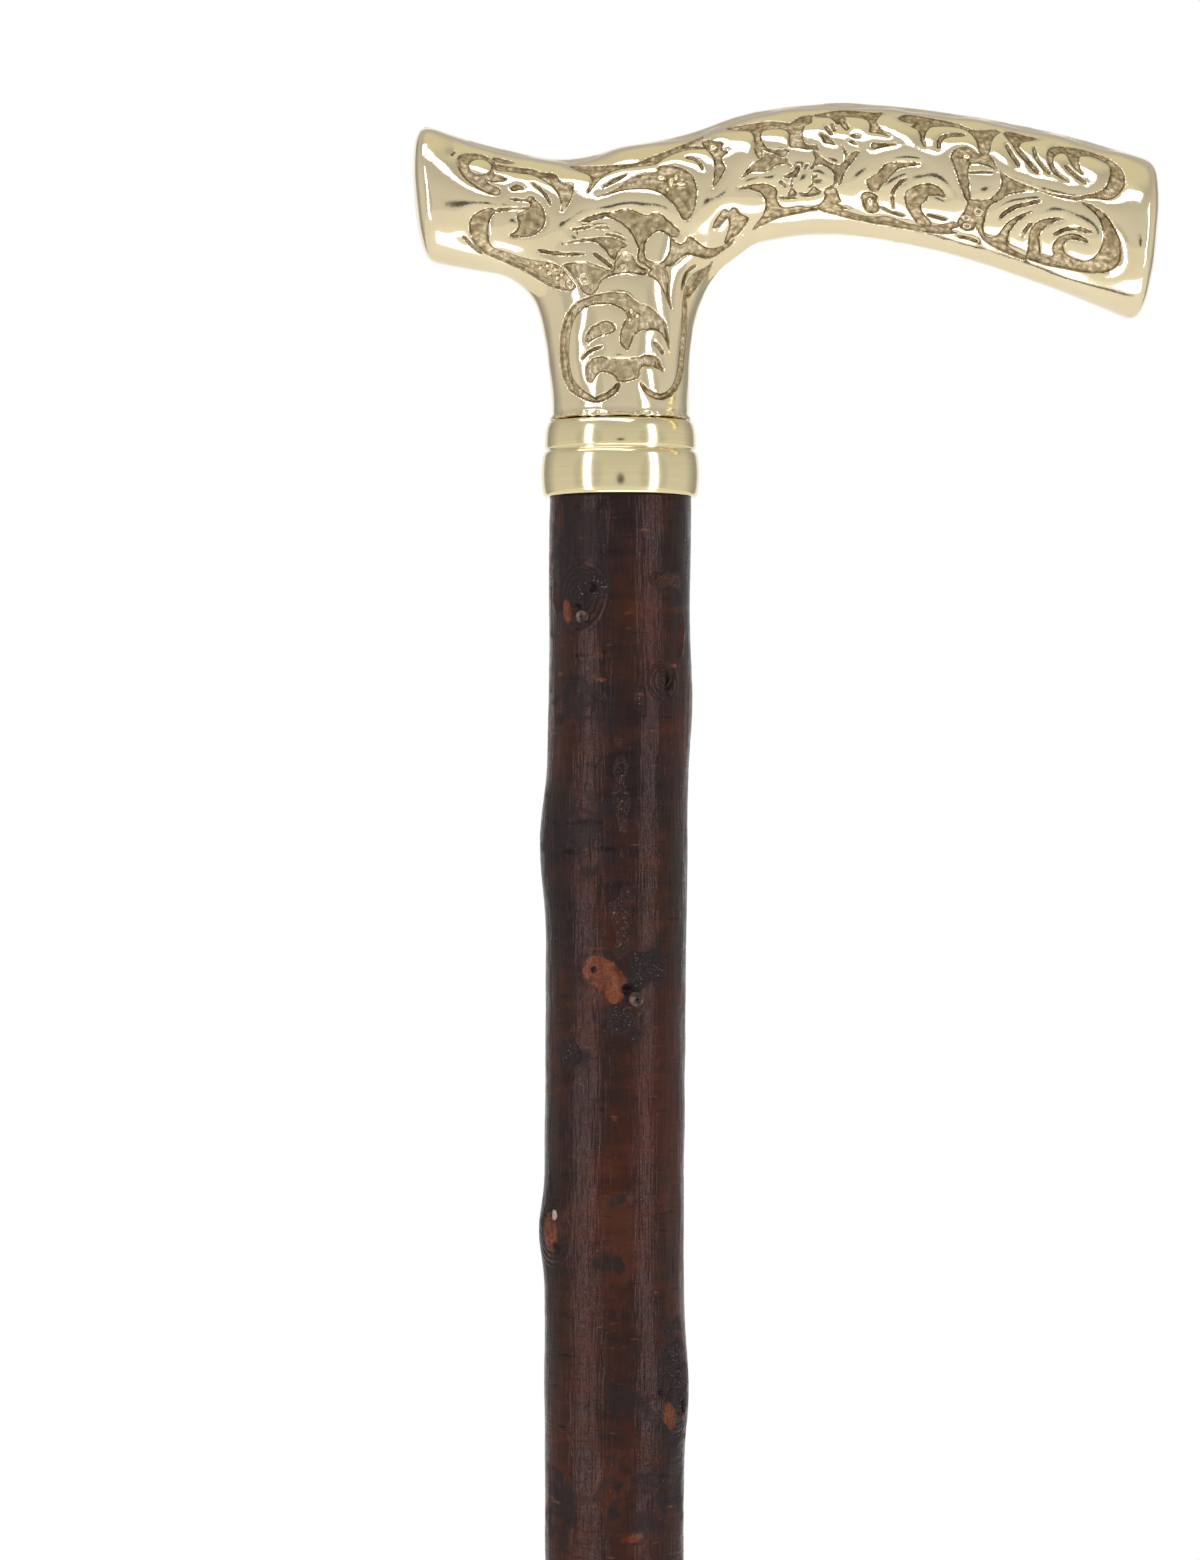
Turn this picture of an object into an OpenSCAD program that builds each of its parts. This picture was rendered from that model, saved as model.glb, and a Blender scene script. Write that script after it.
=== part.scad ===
// Blackthorn walking stick with a cast brass crutch handle.
// Millimetres. +Z is up and the origin is the middle of the ferrule's underside.
// The grip points to +X, the short nose to -X, and the front face looks to -Y.

/* [Shaft] */
// Length of the wood from its turned tip to its turned top
shaft_len = 844.5; // [700:0.5:950]
// Diameter of the bark just under the collar
shaft_top_d = 22.6; // [21.6:0.1:24]
// Diameter of the bark just above the ferrule
shaft_low_d = 20.6; // [19.8:0.1:23]
// Sideways bow of the natural stick at mid length
shaft_bow = 1.6; // [0:0.1:4]
// Swing of the slow waves along the natural stick
shaft_wave = 0.7; // [0:0.1:2]
// How far the bark's section departs from a circle
bark_flute = 0.16; // [0:0.02:0.4]
// Length of the tip that is turned round for the ferrule
seat_len = 34; // [28:1:45]
// Diameter of the turned tip
seat_d = 19; // [16:0.5:19.5]

/* [Knots] */
// Spacing of the knots along the lower shaft
knot_pitch = 37; // [25:1:60]
// Turn from one lower knot to the next, in degrees
knot_turn = 137; // [90:1:180]
// Height of a lower knot above the bark
knot_rise = 1.0; // [0.3:0.1:1.8]
// Half length of a lower knot along the stick
knot_half_len = 8; // [5:0.5:14]
// Diameter of the trimmed twig stub on a knot
stub_d = 2.4; // [1.5:0.1:4]
// Height of a trimmed stub above its knot
stub_rise = 0.5; // [0.2:0.1:1]

/* [Collar] */
// Diameter of the barrel-shaped band
band_d = 25.3; // [24.2:0.1:28]
// Diameter of the ring above the band
ring_d = 24.2; // [22.4:0.1:26]
// Height of the band
band_h = 7.4; // [6.5:0.1:12]
// Height of the ring
ring_h = 4.6; // [3:0.1:8]
// Bulge of the band's face between its edges
band_barrel = 0.35; // [0:0.05:0.6]
// Depth of the groove between band and ring
groove_d = 0.5; // [0.2:0.05:0.8]
// Depth of the cup that takes the top of the wood
cup_depth = 5.8; // [4:0.1:6.2]
// Diameter of the wood's turned top inside the cup
spigot_d = 22; // [20:0.1:22.4]

/* [Handle] */
// Reach of the nose from the shaft's axis, at its top edge
nose_reach = 31; // [28:0.1:40]
// Reach of the grip from the shaft's axis, at its top edge
grip_reach = 84; // [75:0.5:95]
// Height of the handle's crown above the collar
crown_h = 51; // [46:0.5:60]
// Height of the bar at its crown
bar_h = 21; // [19:0.1:23]
// Height of the nose's end face
nose_end_h = 22; // [20:0.1:24]
// Height of the grip's end face
grip_end_h = 25.8; // [23:0.1:28]
// Thickness of the bar from front to back at the neck
bar_depth = 20.8; // [19:0.1:23]
// Thickness of the nose's end from front to back
nose_depth = 18.4; // [16:0.1:22]
// Thickness of the grip's end from front to back
grip_depth = 23.4; // [20:0.1:26]
// Doming of the nose's end face
nose_dome = 2.9; // [1:0.1:5]
// Doming of the grip's end face
grip_dome = 2.6; // [1:0.1:5]
// Waist diameter of the neck
neck_d = 22; // [20:0.1:22.8]
// Diameter of the neck's foot on the collar
neck_foot_d = 22.4; // [21:0.1:23.2]

/* [Stud] */
// Diameter of the steel stud
stud_d = 10; // [6:0.5:12]
// Length of stud inside the handle
stud_in_handle = 27; // [18:1:32]
// Length of stud inside the wood
stud_in_shaft = 45; // [30:1:80]
// Chamfer on the stud's ends
stud_chamfer = 1; // [0.5:0.1:2]

/* [Ferrule] */
// Height of the rubber ferrule
ferrule_h = 45; // [40:0.5:55]
// Diameter of the ferrule's foot
foot_d = 34; // [31:0.5:40]
// Height of the foot's straight wall
foot_h = 7; // [5:0.5:10]
// Diameter of the ferrule's collar
sleeve_d = 25; // [23.5:0.5:28]
// Height where the foot's taper meets the sleeve
taper_top = 20; // [16:0.5:24]
// Thickness of the rubber under the washer
floor_t = 12; // [9:0.5:14]
// Number of ribs round the sleeve
rib_count = 3; // [2:1:4]
// Height of one rib above the sleeve
rib_rise = 0.8; // [0.4:0.1:1.2]
// Width of one rib
rib_w = 3.2; // [2:0.1:4]
// Depth of the tread's grooves
tread_depth = 1.6; // [1:0.1:3]
// Width of the tread's grooves and of the bars between them
tread_w = 2.4; // [1.5:0.1:3]
// Thickness of the steel washer
washer_t = 1.5; // [1:0.1:2.5]
// Diameter of the washer's hole
washer_bore_d = 6; // [3:0.5:9]

/* [Fits] */
// Radial gap of bonded pieces
bond_gap = 0.05; // [0.03:0.01:0.1]
// Radial gap of the ferrule on the wood
push_gap = 0.05; // [0.03:0.01:0.1]
// Gap left at the bottom of each stud hole
hole_end_gap = 1; // [0.5:0.5:3]

/* [Hidden] */
$fn = 64;

// Heights of the faces where the pieces meet
tip_z = floor_t + washer_t;
wood_top_z = tip_z + shaft_len;
collar_z = wood_top_z - cup_depth;
collar_top_z = collar_z + band_h + ring_h;
seat_top_z = tip_z + seat_len;
crown_z = collar_top_z + crown_h;

// Fineness of the lofted pieces
bar_sides = 32;
bar_steps = 4;
dome_steps = 5;
neck_sides = 40;
bark_sides = 24;
bark_step = 5.6;
section_power = 2.25;
nose_dome_power = 2.5;
grip_dome_power = 2.6;

// Sections of the bar from the nose to the grip. Each row has the place along the reach,
// the drop of the top edge below the crown, the height of the bar, how far the foot
// of the section leans towards +X, and the thickness from front to back.
bar_sections = [
    [-1, 3.7, nose_end_h, 1.7, nose_depth],
    [-0.7, 6.6, bar_h - 0.3, 1.6, (nose_depth + bar_depth) / 2],
    [-0.29, 9, bar_h - 1.5, 0, bar_depth],
    [0.07, 6, bar_h - 0.5, 1, bar_depth],
    [0.25, 1.5, bar_h + 0.3, -1.5, bar_depth],
    [0.44, 0, bar_h, -3, bar_depth],
    [0.655, 1.9, bar_h + 0.7, -4.5, bar_depth],
    [0.845, 5.1, grip_end_h - 1.9, -3.5, (grip_depth + bar_depth) / 2],
    [1, 8.9, grip_end_h, -2.4, grip_depth]
];

// Sections of the neck from the collar up into the bar. Each row has the height of the section as a
// drop below the crown, how far it flares beyond the neck to -X and to +X, and its thickness.
neck_r = neck_d / 2;
neck_sections = [
    [crown_h, neck_foot_d / 2 - neck_r, neck_foot_d / 2 - neck_r, neck_foot_d],
    [crown_h - 2.7, 0, 0, neck_d],
    [42, 0.6, 0.1, neck_d],
    [36.3, 1.5, 0.7, neck_d],
    [31.5, 2.9, 2.1, bar_depth + 0.4],
    [28.5, 5.9, 3.6, bar_depth + 0.1],
    [26, 10.5, 5.6, bar_depth - 0.2],
    [22.7, 13.3, 10, bar_depth - 0.4],
    [18, 11.3, 11.3, bar_depth - 0.8],
    [13.5, 4, 6, bar_depth - 4]
];

// Knots of the upper shaft: depth below the collar, angle from +X, rise, half length, half width in degrees
upper_knots = [
    [16, 226, 0.55, 5.5, 26],
    [29.5, 306, 0.35, 3, 16],
    [32, 2, 0.55, 7, 30],
    [55.5, 182, 1.15, 9, 36],
    [77, 262, 0.45, 5, 22],
    [117, 194, 1.05, 5.5, 22],
    [142, 335, 1.1, 9, 36],
    [166, 280, 0.3, 5, 20]
];
lower_knot_start = 190;
lower_knot_width = 28;
lower_knot_count = floor((collar_z - seat_top_z - lower_knot_start) / knot_pitch);
lower_knots = [
    for (i = [0 : lower_knot_count - 1])
        [
            lower_knot_start + i * knot_pitch + 6 * sin(150 * i),
            40 + i * knot_turn,
            knot_rise * (0.85 + 0.25 * sin(95 * i)),
            knot_half_len * (1 + 0.2 * sin(70 * i)),
            lower_knot_width
        ]
];
knots = concat(upper_knots, lower_knots);

// Trimmed twig stubs: depth below the collar and angle from +X. Below the upper part each knot keeps one.
upper_stubs = [[19.5, 238], [79.8, 285]];
stubs = concat(upper_stubs, [for (k = lower_knots) [k[0], k[1]]]);

// Curve through four neighbouring rows of a table, from the second row at t = 0 to the third at t = 1
function catmull(a, b, c, d, t) =
    0.5 * (2 * b + (c - a) * t + (2 * a - 5 * b + 4 * c - d) * t ^ 2 + (3 * b - a - 3 * c + d) * t ^ 3);

// Every row of a table and the rows between, on a smooth curve
function smooth_rows(rows, steps) =
    let (last = len(rows) - 1)
    [
        for (i = [0 : last - 1], k = [0 : steps - 1])
            catmull(rows[max(i - 1, 0)], rows[i], rows[i + 1], rows[min(i + 2, last)], k / steps),
        rows[last]
    ];

// Cosine and sine bent from a circle to a fuller rounded shape
function full_cos(a, power) = sign(cos(a)) * abs(cos(a)) ^ (2 / power);
function full_sin(a, power) = sign(sin(a)) * abs(sin(a)) ^ (2 / power);

// Closed loft through rings with the same number of points, with a flat face at each end
module loft(rings) {
    n = len(rings[0]);
    m = len(rings);
    sides = [
        for (i = [0 : m - 2], j = [0 : n - 1])
            let (a = i * n + j, b = i * n + (j + 1) % n)
            each [[a, a + n, b + n], [a, b + n, b]]
    ];
    ends = [[for (j = [0 : n - 1]) j], [for (j = [n - 1 : -1 : 0]) (m - 1) * n + j]];
    polyhedron([for (ring = rings) each ring], concat(sides, ends));
}

// Place of a bar section's top edge along X
function reach_x(u) = u < 0 ? u * nose_reach : u * grip_reach;

// One ring of the bar: top and foot are points in the XZ plane, and the ring is drawn in
// to a share of its size and moved outwards by a step along X and Z
function bar_ring(row, share = 1, out = [0, 0]) =
    let (
        top = [reach_x(row[0]), crown_z - row[1]],
        foot = top + [row[3], -row[2]],
        mid = (top + foot) / 2 + out,
        half = (top - foot) / 2 * share
    )
    [
        for (j = [0 : bar_sides - 1])
            let (
                a = 360 * j / bar_sides,
                up = full_sin(a, section_power),
                side = full_cos(a, section_power)
            )
            [mid[0] + half[0] * up, row[4] / 2 * share * side, mid[1] + half[1] * up]
    ];

// Direction out of a bar section's plane, to the nose (way = -1) or to the grip (way = 1)
function out_of(row, way) =
    let (run = [-row[3], row[2]])
    way * [run[1], -run[0]] / norm(run);

// Rings that close an end of the bar with a dome, from its edge inwards
function dome_rings(row, rise, way, power) =
    [
        for (k = [1 : dome_steps])
            let (a = 90 * k / (dome_steps + 0.6))
            bar_ring(row, full_cos(a, power), out_of(row, way) * rise * full_sin(a, power))
    ];

module bar() {
    nose = dome_rings(bar_sections[0], nose_dome, -1, nose_dome_power);
    body = [for (row = smooth_rows(bar_sections, bar_steps)) bar_ring(row)];
    grip = dome_rings(bar_sections[len(bar_sections) - 1], grip_dome, 1, grip_dome_power);
    loft(concat([for (k = [dome_steps - 1 : -1 : 0]) nose[k]], body, grip));
}

function neck_ring(row) =
    let (left = -neck_r - row[1], right = neck_r + row[2])
    [
        for (j = [0 : neck_sides - 1])
            let (a = 360 * j / neck_sides)
            [(left + right) / 2 + (right - left) / 2 * cos(a), row[3] / 2 * sin(a), crown_z - row[0]]
    ];

module neck() {
    loft([for (row = smooth_rows(neck_sections, 2)) neck_ring(row)]);
}

// One casting: the bar and the flared neck, drilled from below for the stud
module brass_handle() {
    color("goldenrod")
    difference() {
        union() {
            bar();
            neck();
        }
        translate([0, 0, collar_top_z - 1])
            cylinder(d = stud_d + 2 * bond_gap, h = stud_in_handle + hole_end_gap + 1);
    }
}

// Half section of the collar: barrel band below, groove, and a ring with a rounded shoulder
module collar_profile() {
    arc_n = 10;
    shoulder = ring_d / 2 - neck_foot_d / 2;
    shoulder_h = ring_h * 0.7;
    band = [
        for (k = [0 : arc_n])
            let (t = k / arc_n)
            [band_d / 2 - band_barrel * (2 * t - 1) ^ 2, collar_z + t * (band_h - groove_d)]
    ];
    ring = [
        for (k = [0 : arc_n])
            let (a = 90 * k / arc_n)
            [
                ring_d / 2 - shoulder * (1 - cos(a)),
                collar_top_z - shoulder_h * (1 - sin(a))
            ]
    ];
    polygon(concat(
        [[0, collar_z]],
        band,
        [[ring_d / 2 - groove_d, collar_z + band_h]],
        [[ring_d / 2, collar_z + band_h + groove_d]],
        ring,
        [[0, collar_top_z]]
    ));
}

// Turned brass collar that cups the top of the wood and carries the neck
module collar() {
    color("gold")
    difference() {
        rotate_extrude() collar_profile();
        translate([0, 0, collar_z - 1])
            cylinder(d = spigot_d + 2 * bond_gap, h = cup_depth + 1);
        translate([0, 0, collar_z])
            cylinder(d = stud_d + 2 * bond_gap, h = band_h + ring_h + 1);
    }
}

// Steel stud bonded into the handle and the wood
module handle_stud() {
    r = stud_d / 2;
    low = wood_top_z - stud_in_shaft;
    high = collar_top_z + stud_in_handle;
    color("silver")
    rotate_extrude()
        polygon([
            [0, low],
            [r - stud_chamfer, low],
            [r, low + stud_chamfer],
            [r, high - stud_chamfer],
            [r - stud_chamfer, high],
            [0, high]
        ]);
}

// Share of the way up the bark, 0 at the ferrule's seat and 1 at the collar
function up_share(z) = (z - seat_top_z) / (collar_z - seat_top_z);

// Middle of the natural stick at a height: straight at both ends, bowed and waved between
function stick_mid(z) =
    let (t = up_share(z), swell = sin(180 * t))
    [
        -swell * (shaft_bow + shaft_wave * sin(900 * t)),
        swell * (shaft_bow * 0.6 * sin(250 * t) + shaft_wave * cos(760 * t))
    ];

// Smallest angle between two directions
function turn_between(a, b) = abs(((a - b + 540) % 360) - 180);

// Rise of one knot at an angle and a depth below the collar
function knot_height(k, a, depth) =
    k[2] * exp(-((depth - k[0]) / k[3]) ^ 2) * exp(-(turn_between(a, k[1] + 720) / k[4]) ^ 2);

// Rise of all knots near a depth
function knots_height(a, depth) =
    let (near = [for (k = knots) if (abs(depth - k[0]) < 2.5 * k[3]) knot_height(k, a, depth)])
    len(near) == 0 ? 0 : near * [for (h = near) 1];

function bark_r(a, z) =
    let (t = up_share(z), ends = min(1, 8 * t, 8 * (1 - t)))
    shaft_low_d / 2 + (shaft_top_d - shaft_low_d) / 2 * t
        + ends * bark_flute * (cos(3 * a + 200 * t) + 0.6 * cos(5 * a - 420 * t))
        + knots_height(a, collar_z - z);

function bark_ring(z) =
    let (mid = stick_mid(z))
    [
        for (j = [0 : bark_sides - 1])
            let (a = 360 * j / bark_sides, r = bark_r(a, z))
            [mid[0] + r * cos(a), mid[1] + r * sin(a), z]
    ];

// Stub of a trimmed twig, standing square on the bark
module stub(place) {
    z = collar_z - place[0];
    mid = stick_mid(z);
    root = 3;
    translate([mid[0], mid[1], z])
        rotate([0, 90, place[1]])
            translate([0, 0, bark_r(place[1], z) - root])
                cylinder(d = stub_d, h = root + stub_rise, $fn = 20);
}

module bark() {
    rings = round((collar_z - seat_top_z) / bark_step);
    loft([for (i = [0 : rings]) bark_ring(seat_top_z + (collar_z - seat_top_z) * i / rings)]);
}

// Natural wood with a turned top for the collar's cup and a turned tip for the ferrule
module shaft() {
    color("saddlebrown")
    difference() {
        union() {
            bark();
            for (place = stubs) stub(place);
            translate([0, 0, collar_z]) cylinder(d = spigot_d, h = cup_depth);
            translate([0, 0, tip_z]) cylinder(d = seat_d, h = seat_len);
        }
        translate([0, 0, wood_top_z - stud_in_shaft - hole_end_gap])
            cylinder(d = stud_d + 2 * bond_gap, h = stud_in_shaft + hole_end_gap + 1);
    }
}

// Half section of the ferrule's outside, from the tread up to the rim
module ferrule_profile() {
    arc_n = 8;
    edge = 1.5;
    rim = 1.2;
    foot_r = foot_d / 2;
    sleeve_r = sleeve_d / 2;
    foot_edge = [
        for (k = [0 : arc_n])
            let (a = -90 + 90 * k / arc_n)
            [foot_r - edge + edge * cos(a), edge + edge * sin(a)]
    ];
    taper = [
        for (k = [0 : arc_n])
            let (t = k / arc_n)
            [foot_r + (sleeve_r - foot_r) * sin(90 * t), foot_h + (taper_top - foot_h) * (1 - cos(90 * t))]
    ];
    rim_edge = [
        for (k = [0 : arc_n])
            let (a = 90 * k / arc_n)
            [sleeve_r - rim + rim * cos(a), ferrule_h - rim + rim * sin(a)]
    ];
    polygon(concat([[0, 0]], foot_edge, taper, rim_edge, [[0, ferrule_h]]));
}

// Rounded ribs spread evenly up the sleeve
module ferrule_ribs() {
    room = ferrule_h - taper_top;
    for (i = [0 : rib_count - 1])
        translate([0, 0, taper_top + room * (i + 0.7) / (rib_count + 0.4)])
            rotate_extrude()
                polygon([
                    for (k = [0 : 8])
                        let (a = -90 + 180 * k / 8)
                        [sleeve_d / 2 - 0.5 + (rib_rise + 0.5) * cos(a), rib_w / 2 * sin(a)]
                ]);
}

module rubber_ferrule() {
    color("dimgray")
    difference() {
        union() {
            rotate_extrude() ferrule_profile();
            ferrule_ribs();
        }
        translate([0, 0, floor_t])
            cylinder(d = seat_d + 2 * push_gap, h = ferrule_h);
        for (r = [foot_d / 2 - 2 * tread_w, foot_d / 2 - 4 * tread_w])
            translate([0, 0, -1])
                difference() {
                    cylinder(r = r, h = tread_depth + 1);
                    cylinder(r = r - tread_w, h = 3 * tread_depth + 1, center = true);
                }
    }
}

// Steel washer that spreads the tip's load on the rubber
module ferrule_washer() {
    color("lightsteelblue")
    translate([0, 0, floor_t])
        difference() {
            cylinder(d = seat_d - 2 * push_gap, h = washer_t);
            translate([0, 0, -1]) cylinder(d = washer_bore_d, h = washer_t + 2);
        }
}

brass_handle();
collar();
handle_stud();
shaft();
rubber_ferrule();
ferrule_washer();
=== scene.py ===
# %% [markdown]
# # A blackthorn stick with a cast brass crutch handle
# The construction model gives every piece its place and size. This lesson gives the pieces their looks: a
# scroll relief chased into the brass, a turned collar, dark varnished bark with knots, and a rubber foot.

# %% Load the frame
import math

import bmesh
import bpy
import numpy as np
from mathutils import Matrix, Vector, noise


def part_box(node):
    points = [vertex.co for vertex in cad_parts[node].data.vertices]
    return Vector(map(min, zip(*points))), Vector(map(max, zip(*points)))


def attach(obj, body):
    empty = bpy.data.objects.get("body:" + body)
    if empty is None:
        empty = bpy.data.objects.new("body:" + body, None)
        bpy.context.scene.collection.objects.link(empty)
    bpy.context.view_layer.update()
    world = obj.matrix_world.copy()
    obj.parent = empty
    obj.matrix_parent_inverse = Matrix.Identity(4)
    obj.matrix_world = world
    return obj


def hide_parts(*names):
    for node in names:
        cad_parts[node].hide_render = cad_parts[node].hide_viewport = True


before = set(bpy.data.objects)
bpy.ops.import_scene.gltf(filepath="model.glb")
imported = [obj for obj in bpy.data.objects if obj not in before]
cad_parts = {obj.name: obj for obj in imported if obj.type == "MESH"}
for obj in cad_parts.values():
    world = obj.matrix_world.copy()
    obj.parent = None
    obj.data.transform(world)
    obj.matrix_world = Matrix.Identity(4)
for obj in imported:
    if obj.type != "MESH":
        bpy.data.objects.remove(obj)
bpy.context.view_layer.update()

scene = bpy.context.scene
scene.view_settings.view_transform = "Standard"
MM = 0.001
print("pieces in the frame:", sorted(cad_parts))

# %% [markdown]
# The photograph is the drawing that the relief is traced from, so the first thing to settle is how one of
# its pixels meets the model. The collar gives the scale and the camera's height, and a level camera gives
# straight uprights.

# %% Tie the photograph's pixels to the model
PHOTO_SIZE = (1200, 1560)
PHOTO_MIDDLE = (600.0, 780.0)
PIXEL = 0.16 * MM
AXIS_PX = 620.5
COLLAR_FOOT_PX = 497.0
CAMERA_DISTANCE = 750 * MM

collar_low, collar_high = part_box("collar")
COLLAR_Z = collar_low[2]
COLLAR_TOP_Z = collar_high[2]
VIEW_X = (PHOTO_MIDDLE[0] - AXIS_PX) * PIXEL
VIEW_Z = COLLAR_Z + (COLLAR_FOOT_PX - PHOTO_MIDDLE[1]) * PIXEL


def seen_at(points):
    """Photograph pixels where points of the front face appear; the back face takes the same pattern."""
    nearer = CAMERA_DISTANCE / (CAMERA_DISTANCE - np.abs(points[:, 1]))
    across = PHOTO_MIDDLE[0] + (points[:, 0] - VIEW_X) * nearer / PIXEL
    down = PHOTO_MIDDLE[1] - (points[:, 2] - VIEW_Z) * nearer / PIXEL
    return np.stack([across, down], axis=1)


print("collar foot at", round(COLLAR_Z / MM, 1), "mm, picture middle at", round(VIEW_Z / MM, 1), "mm")

# %% [markdown]
# A camera at the height of the picture's middle sees the handle a little from below, as the photograph
# does: the underside of the grip shows and the collar's edges curve upwards. The lens is long, so sizes
# stay true.

# %% Set the camera
SENSOR = 36.0
camera_data = bpy.data.cameras.new("camera")
camera_data.sensor_width = SENSOR
camera_data.lens = SENSOR * CAMERA_DISTANCE / (PHOTO_SIZE[1] * PIXEL)
camera_data.clip_start = 0.01
camera = bpy.data.objects.new("camera", camera_data)
camera.location = (VIEW_X, -CAMERA_DISTANCE, VIEW_Z)
camera.rotation_euler = (math.radians(90), 0, 0)
scene.collection.objects.link(camera)
scene.camera = camera
print("lens", round(camera_data.lens, 1), "mm")

# %% [markdown]
# Small helpers keep the later cells short. One links a finished piece to its body, the others soften a
# step, round a traced outline by cutting its corners, and measure how far points lie from it.

# %% Helpers for pieces


def add_piece(name, mesh, material, body, node):
    """Links a finished mesh as a piece that stands for a node of the frame."""
    piece = bpy.data.objects.new(name, mesh)
    scene.collection.objects.link(piece)
    mesh.materials.clear()
    mesh.materials.append(material)
    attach(piece, body)
    if node:
        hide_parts(node)
    print(name, "has", len(mesh.polygons), "faces")
    return piece


def mesh_from(bm, name):
    """Turns a bmesh into smooth-shaded mesh data with its faces outwards."""
    bmesh.ops.remove_doubles(bm, verts=bm.verts, dist=1e-6)
    bmesh.ops.recalc_face_normals(bm, faces=bm.faces)
    mesh = bpy.data.meshes.new(name)
    bm.to_mesh(mesh)
    bm.free()
    mesh.shade_smooth()
    return mesh


def vertex_places(mesh):
    """Vertex positions of a mesh as rows of an array."""
    places = np.empty(len(mesh.vertices) * 3)
    mesh.vertices.foreach_get("co", places)
    return places.reshape(-1, 3)


def vertex_normals(mesh):
    """Vertex normals of a mesh as rows of an array."""
    normals = np.empty(len(mesh.vertices) * 3)
    mesh.vertex_normals.foreach_get("vector", normals)
    return normals.reshape(-1, 3)


def put_places(mesh, places):
    """Writes vertex positions back."""
    mesh.vertices.foreach_set("co", places.reshape(-1))
    mesh.update()


def put_attribute(mesh, name, values):
    """Keeps one number at each vertex, for a material to read."""
    attribute = mesh.attributes.new(name, "FLOAT", "POINT")
    attribute.data.foreach_set("value", values.astype(np.float32))


def ease(low, high, values):
    """Soft step from 0 at low to 1 at high."""
    share = np.clip((values - low) / (high - low), 0.0, 1.0)
    return share * share * (3.0 - 2.0 * share)


def noise_at(places, size, seed):
    """Smooth noise between about -1 and 1, with bumps of about the given size."""
    shift = Vector((seed * 7.3, seed * 3.1, seed * 5.7))
    return np.array([noise.noise(Vector(p) / size + shift) for p in places])


# %% Helpers for traced outlines


def rounded(points, closed, rounds=2):
    """Cuts the corners of a traced line, which rounds it."""
    line = np.array(points, dtype=float)
    for _ in range(rounds):
        follow = np.roll(line, -1, axis=0)
        near = 0.75 * line + 0.25 * follow
        far = 0.25 * line + 0.75 * follow
        cut = np.stack([near, far], axis=1)
        if closed:
            line = cut.reshape(-1, 2)
        else:
            line = np.concatenate([line[:1], cut[:-1].reshape(-1, 2), line[-1:]])
    return line


def nearest_on(line, points, closed):
    """Distance from points to a line of segments, and the share of the way along it."""
    start = line if closed else line[:-1]
    run = (np.roll(line, -1, axis=0) if closed else line[1:]) - start
    lengths = np.maximum((run ** 2).sum(axis=1), 1e-9)
    best = np.full(len(points), 1e9)
    place = np.zeros(len(points))
    for i in range(len(start)):
        away = points - start[i]
        t = np.clip(away @ run[i] / lengths[i], 0.0, 1.0)
        gap = np.hypot(*(away - t[:, None] * run[i]).T)
        closer = gap < best
        best[closer] = gap[closer]
        place[closer] = (i + t[closer]) / len(start)
    return best, place


def inside(line, points):
    """True where points lie inside a closed outline."""
    crossings = np.zeros(len(points), dtype=int)
    follow = np.roll(line, -1, axis=0)
    for a, b in zip(line, follow):
        if a[1] == b[1]:
            continue
        between = (a[1] > points[:, 1]) != (b[1] > points[:, 1])
        at = a[0] + (points[:, 1] - a[1]) / (b[1] - a[1]) * (b[0] - a[0])
        crossings += between & (points[:, 0] < at)
    return crossings % 2 == 1


# %% [markdown]
# The relief is sunk work: a founder's pattern is carved so that leaves and scrolls stay at the level of
# the bar, and the ground between them is cut down and left rough. So only the sunk places are traced
# here, in pixels of the photograph. Each outline has a name, the leaves are simply what is left between
# them.

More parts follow.
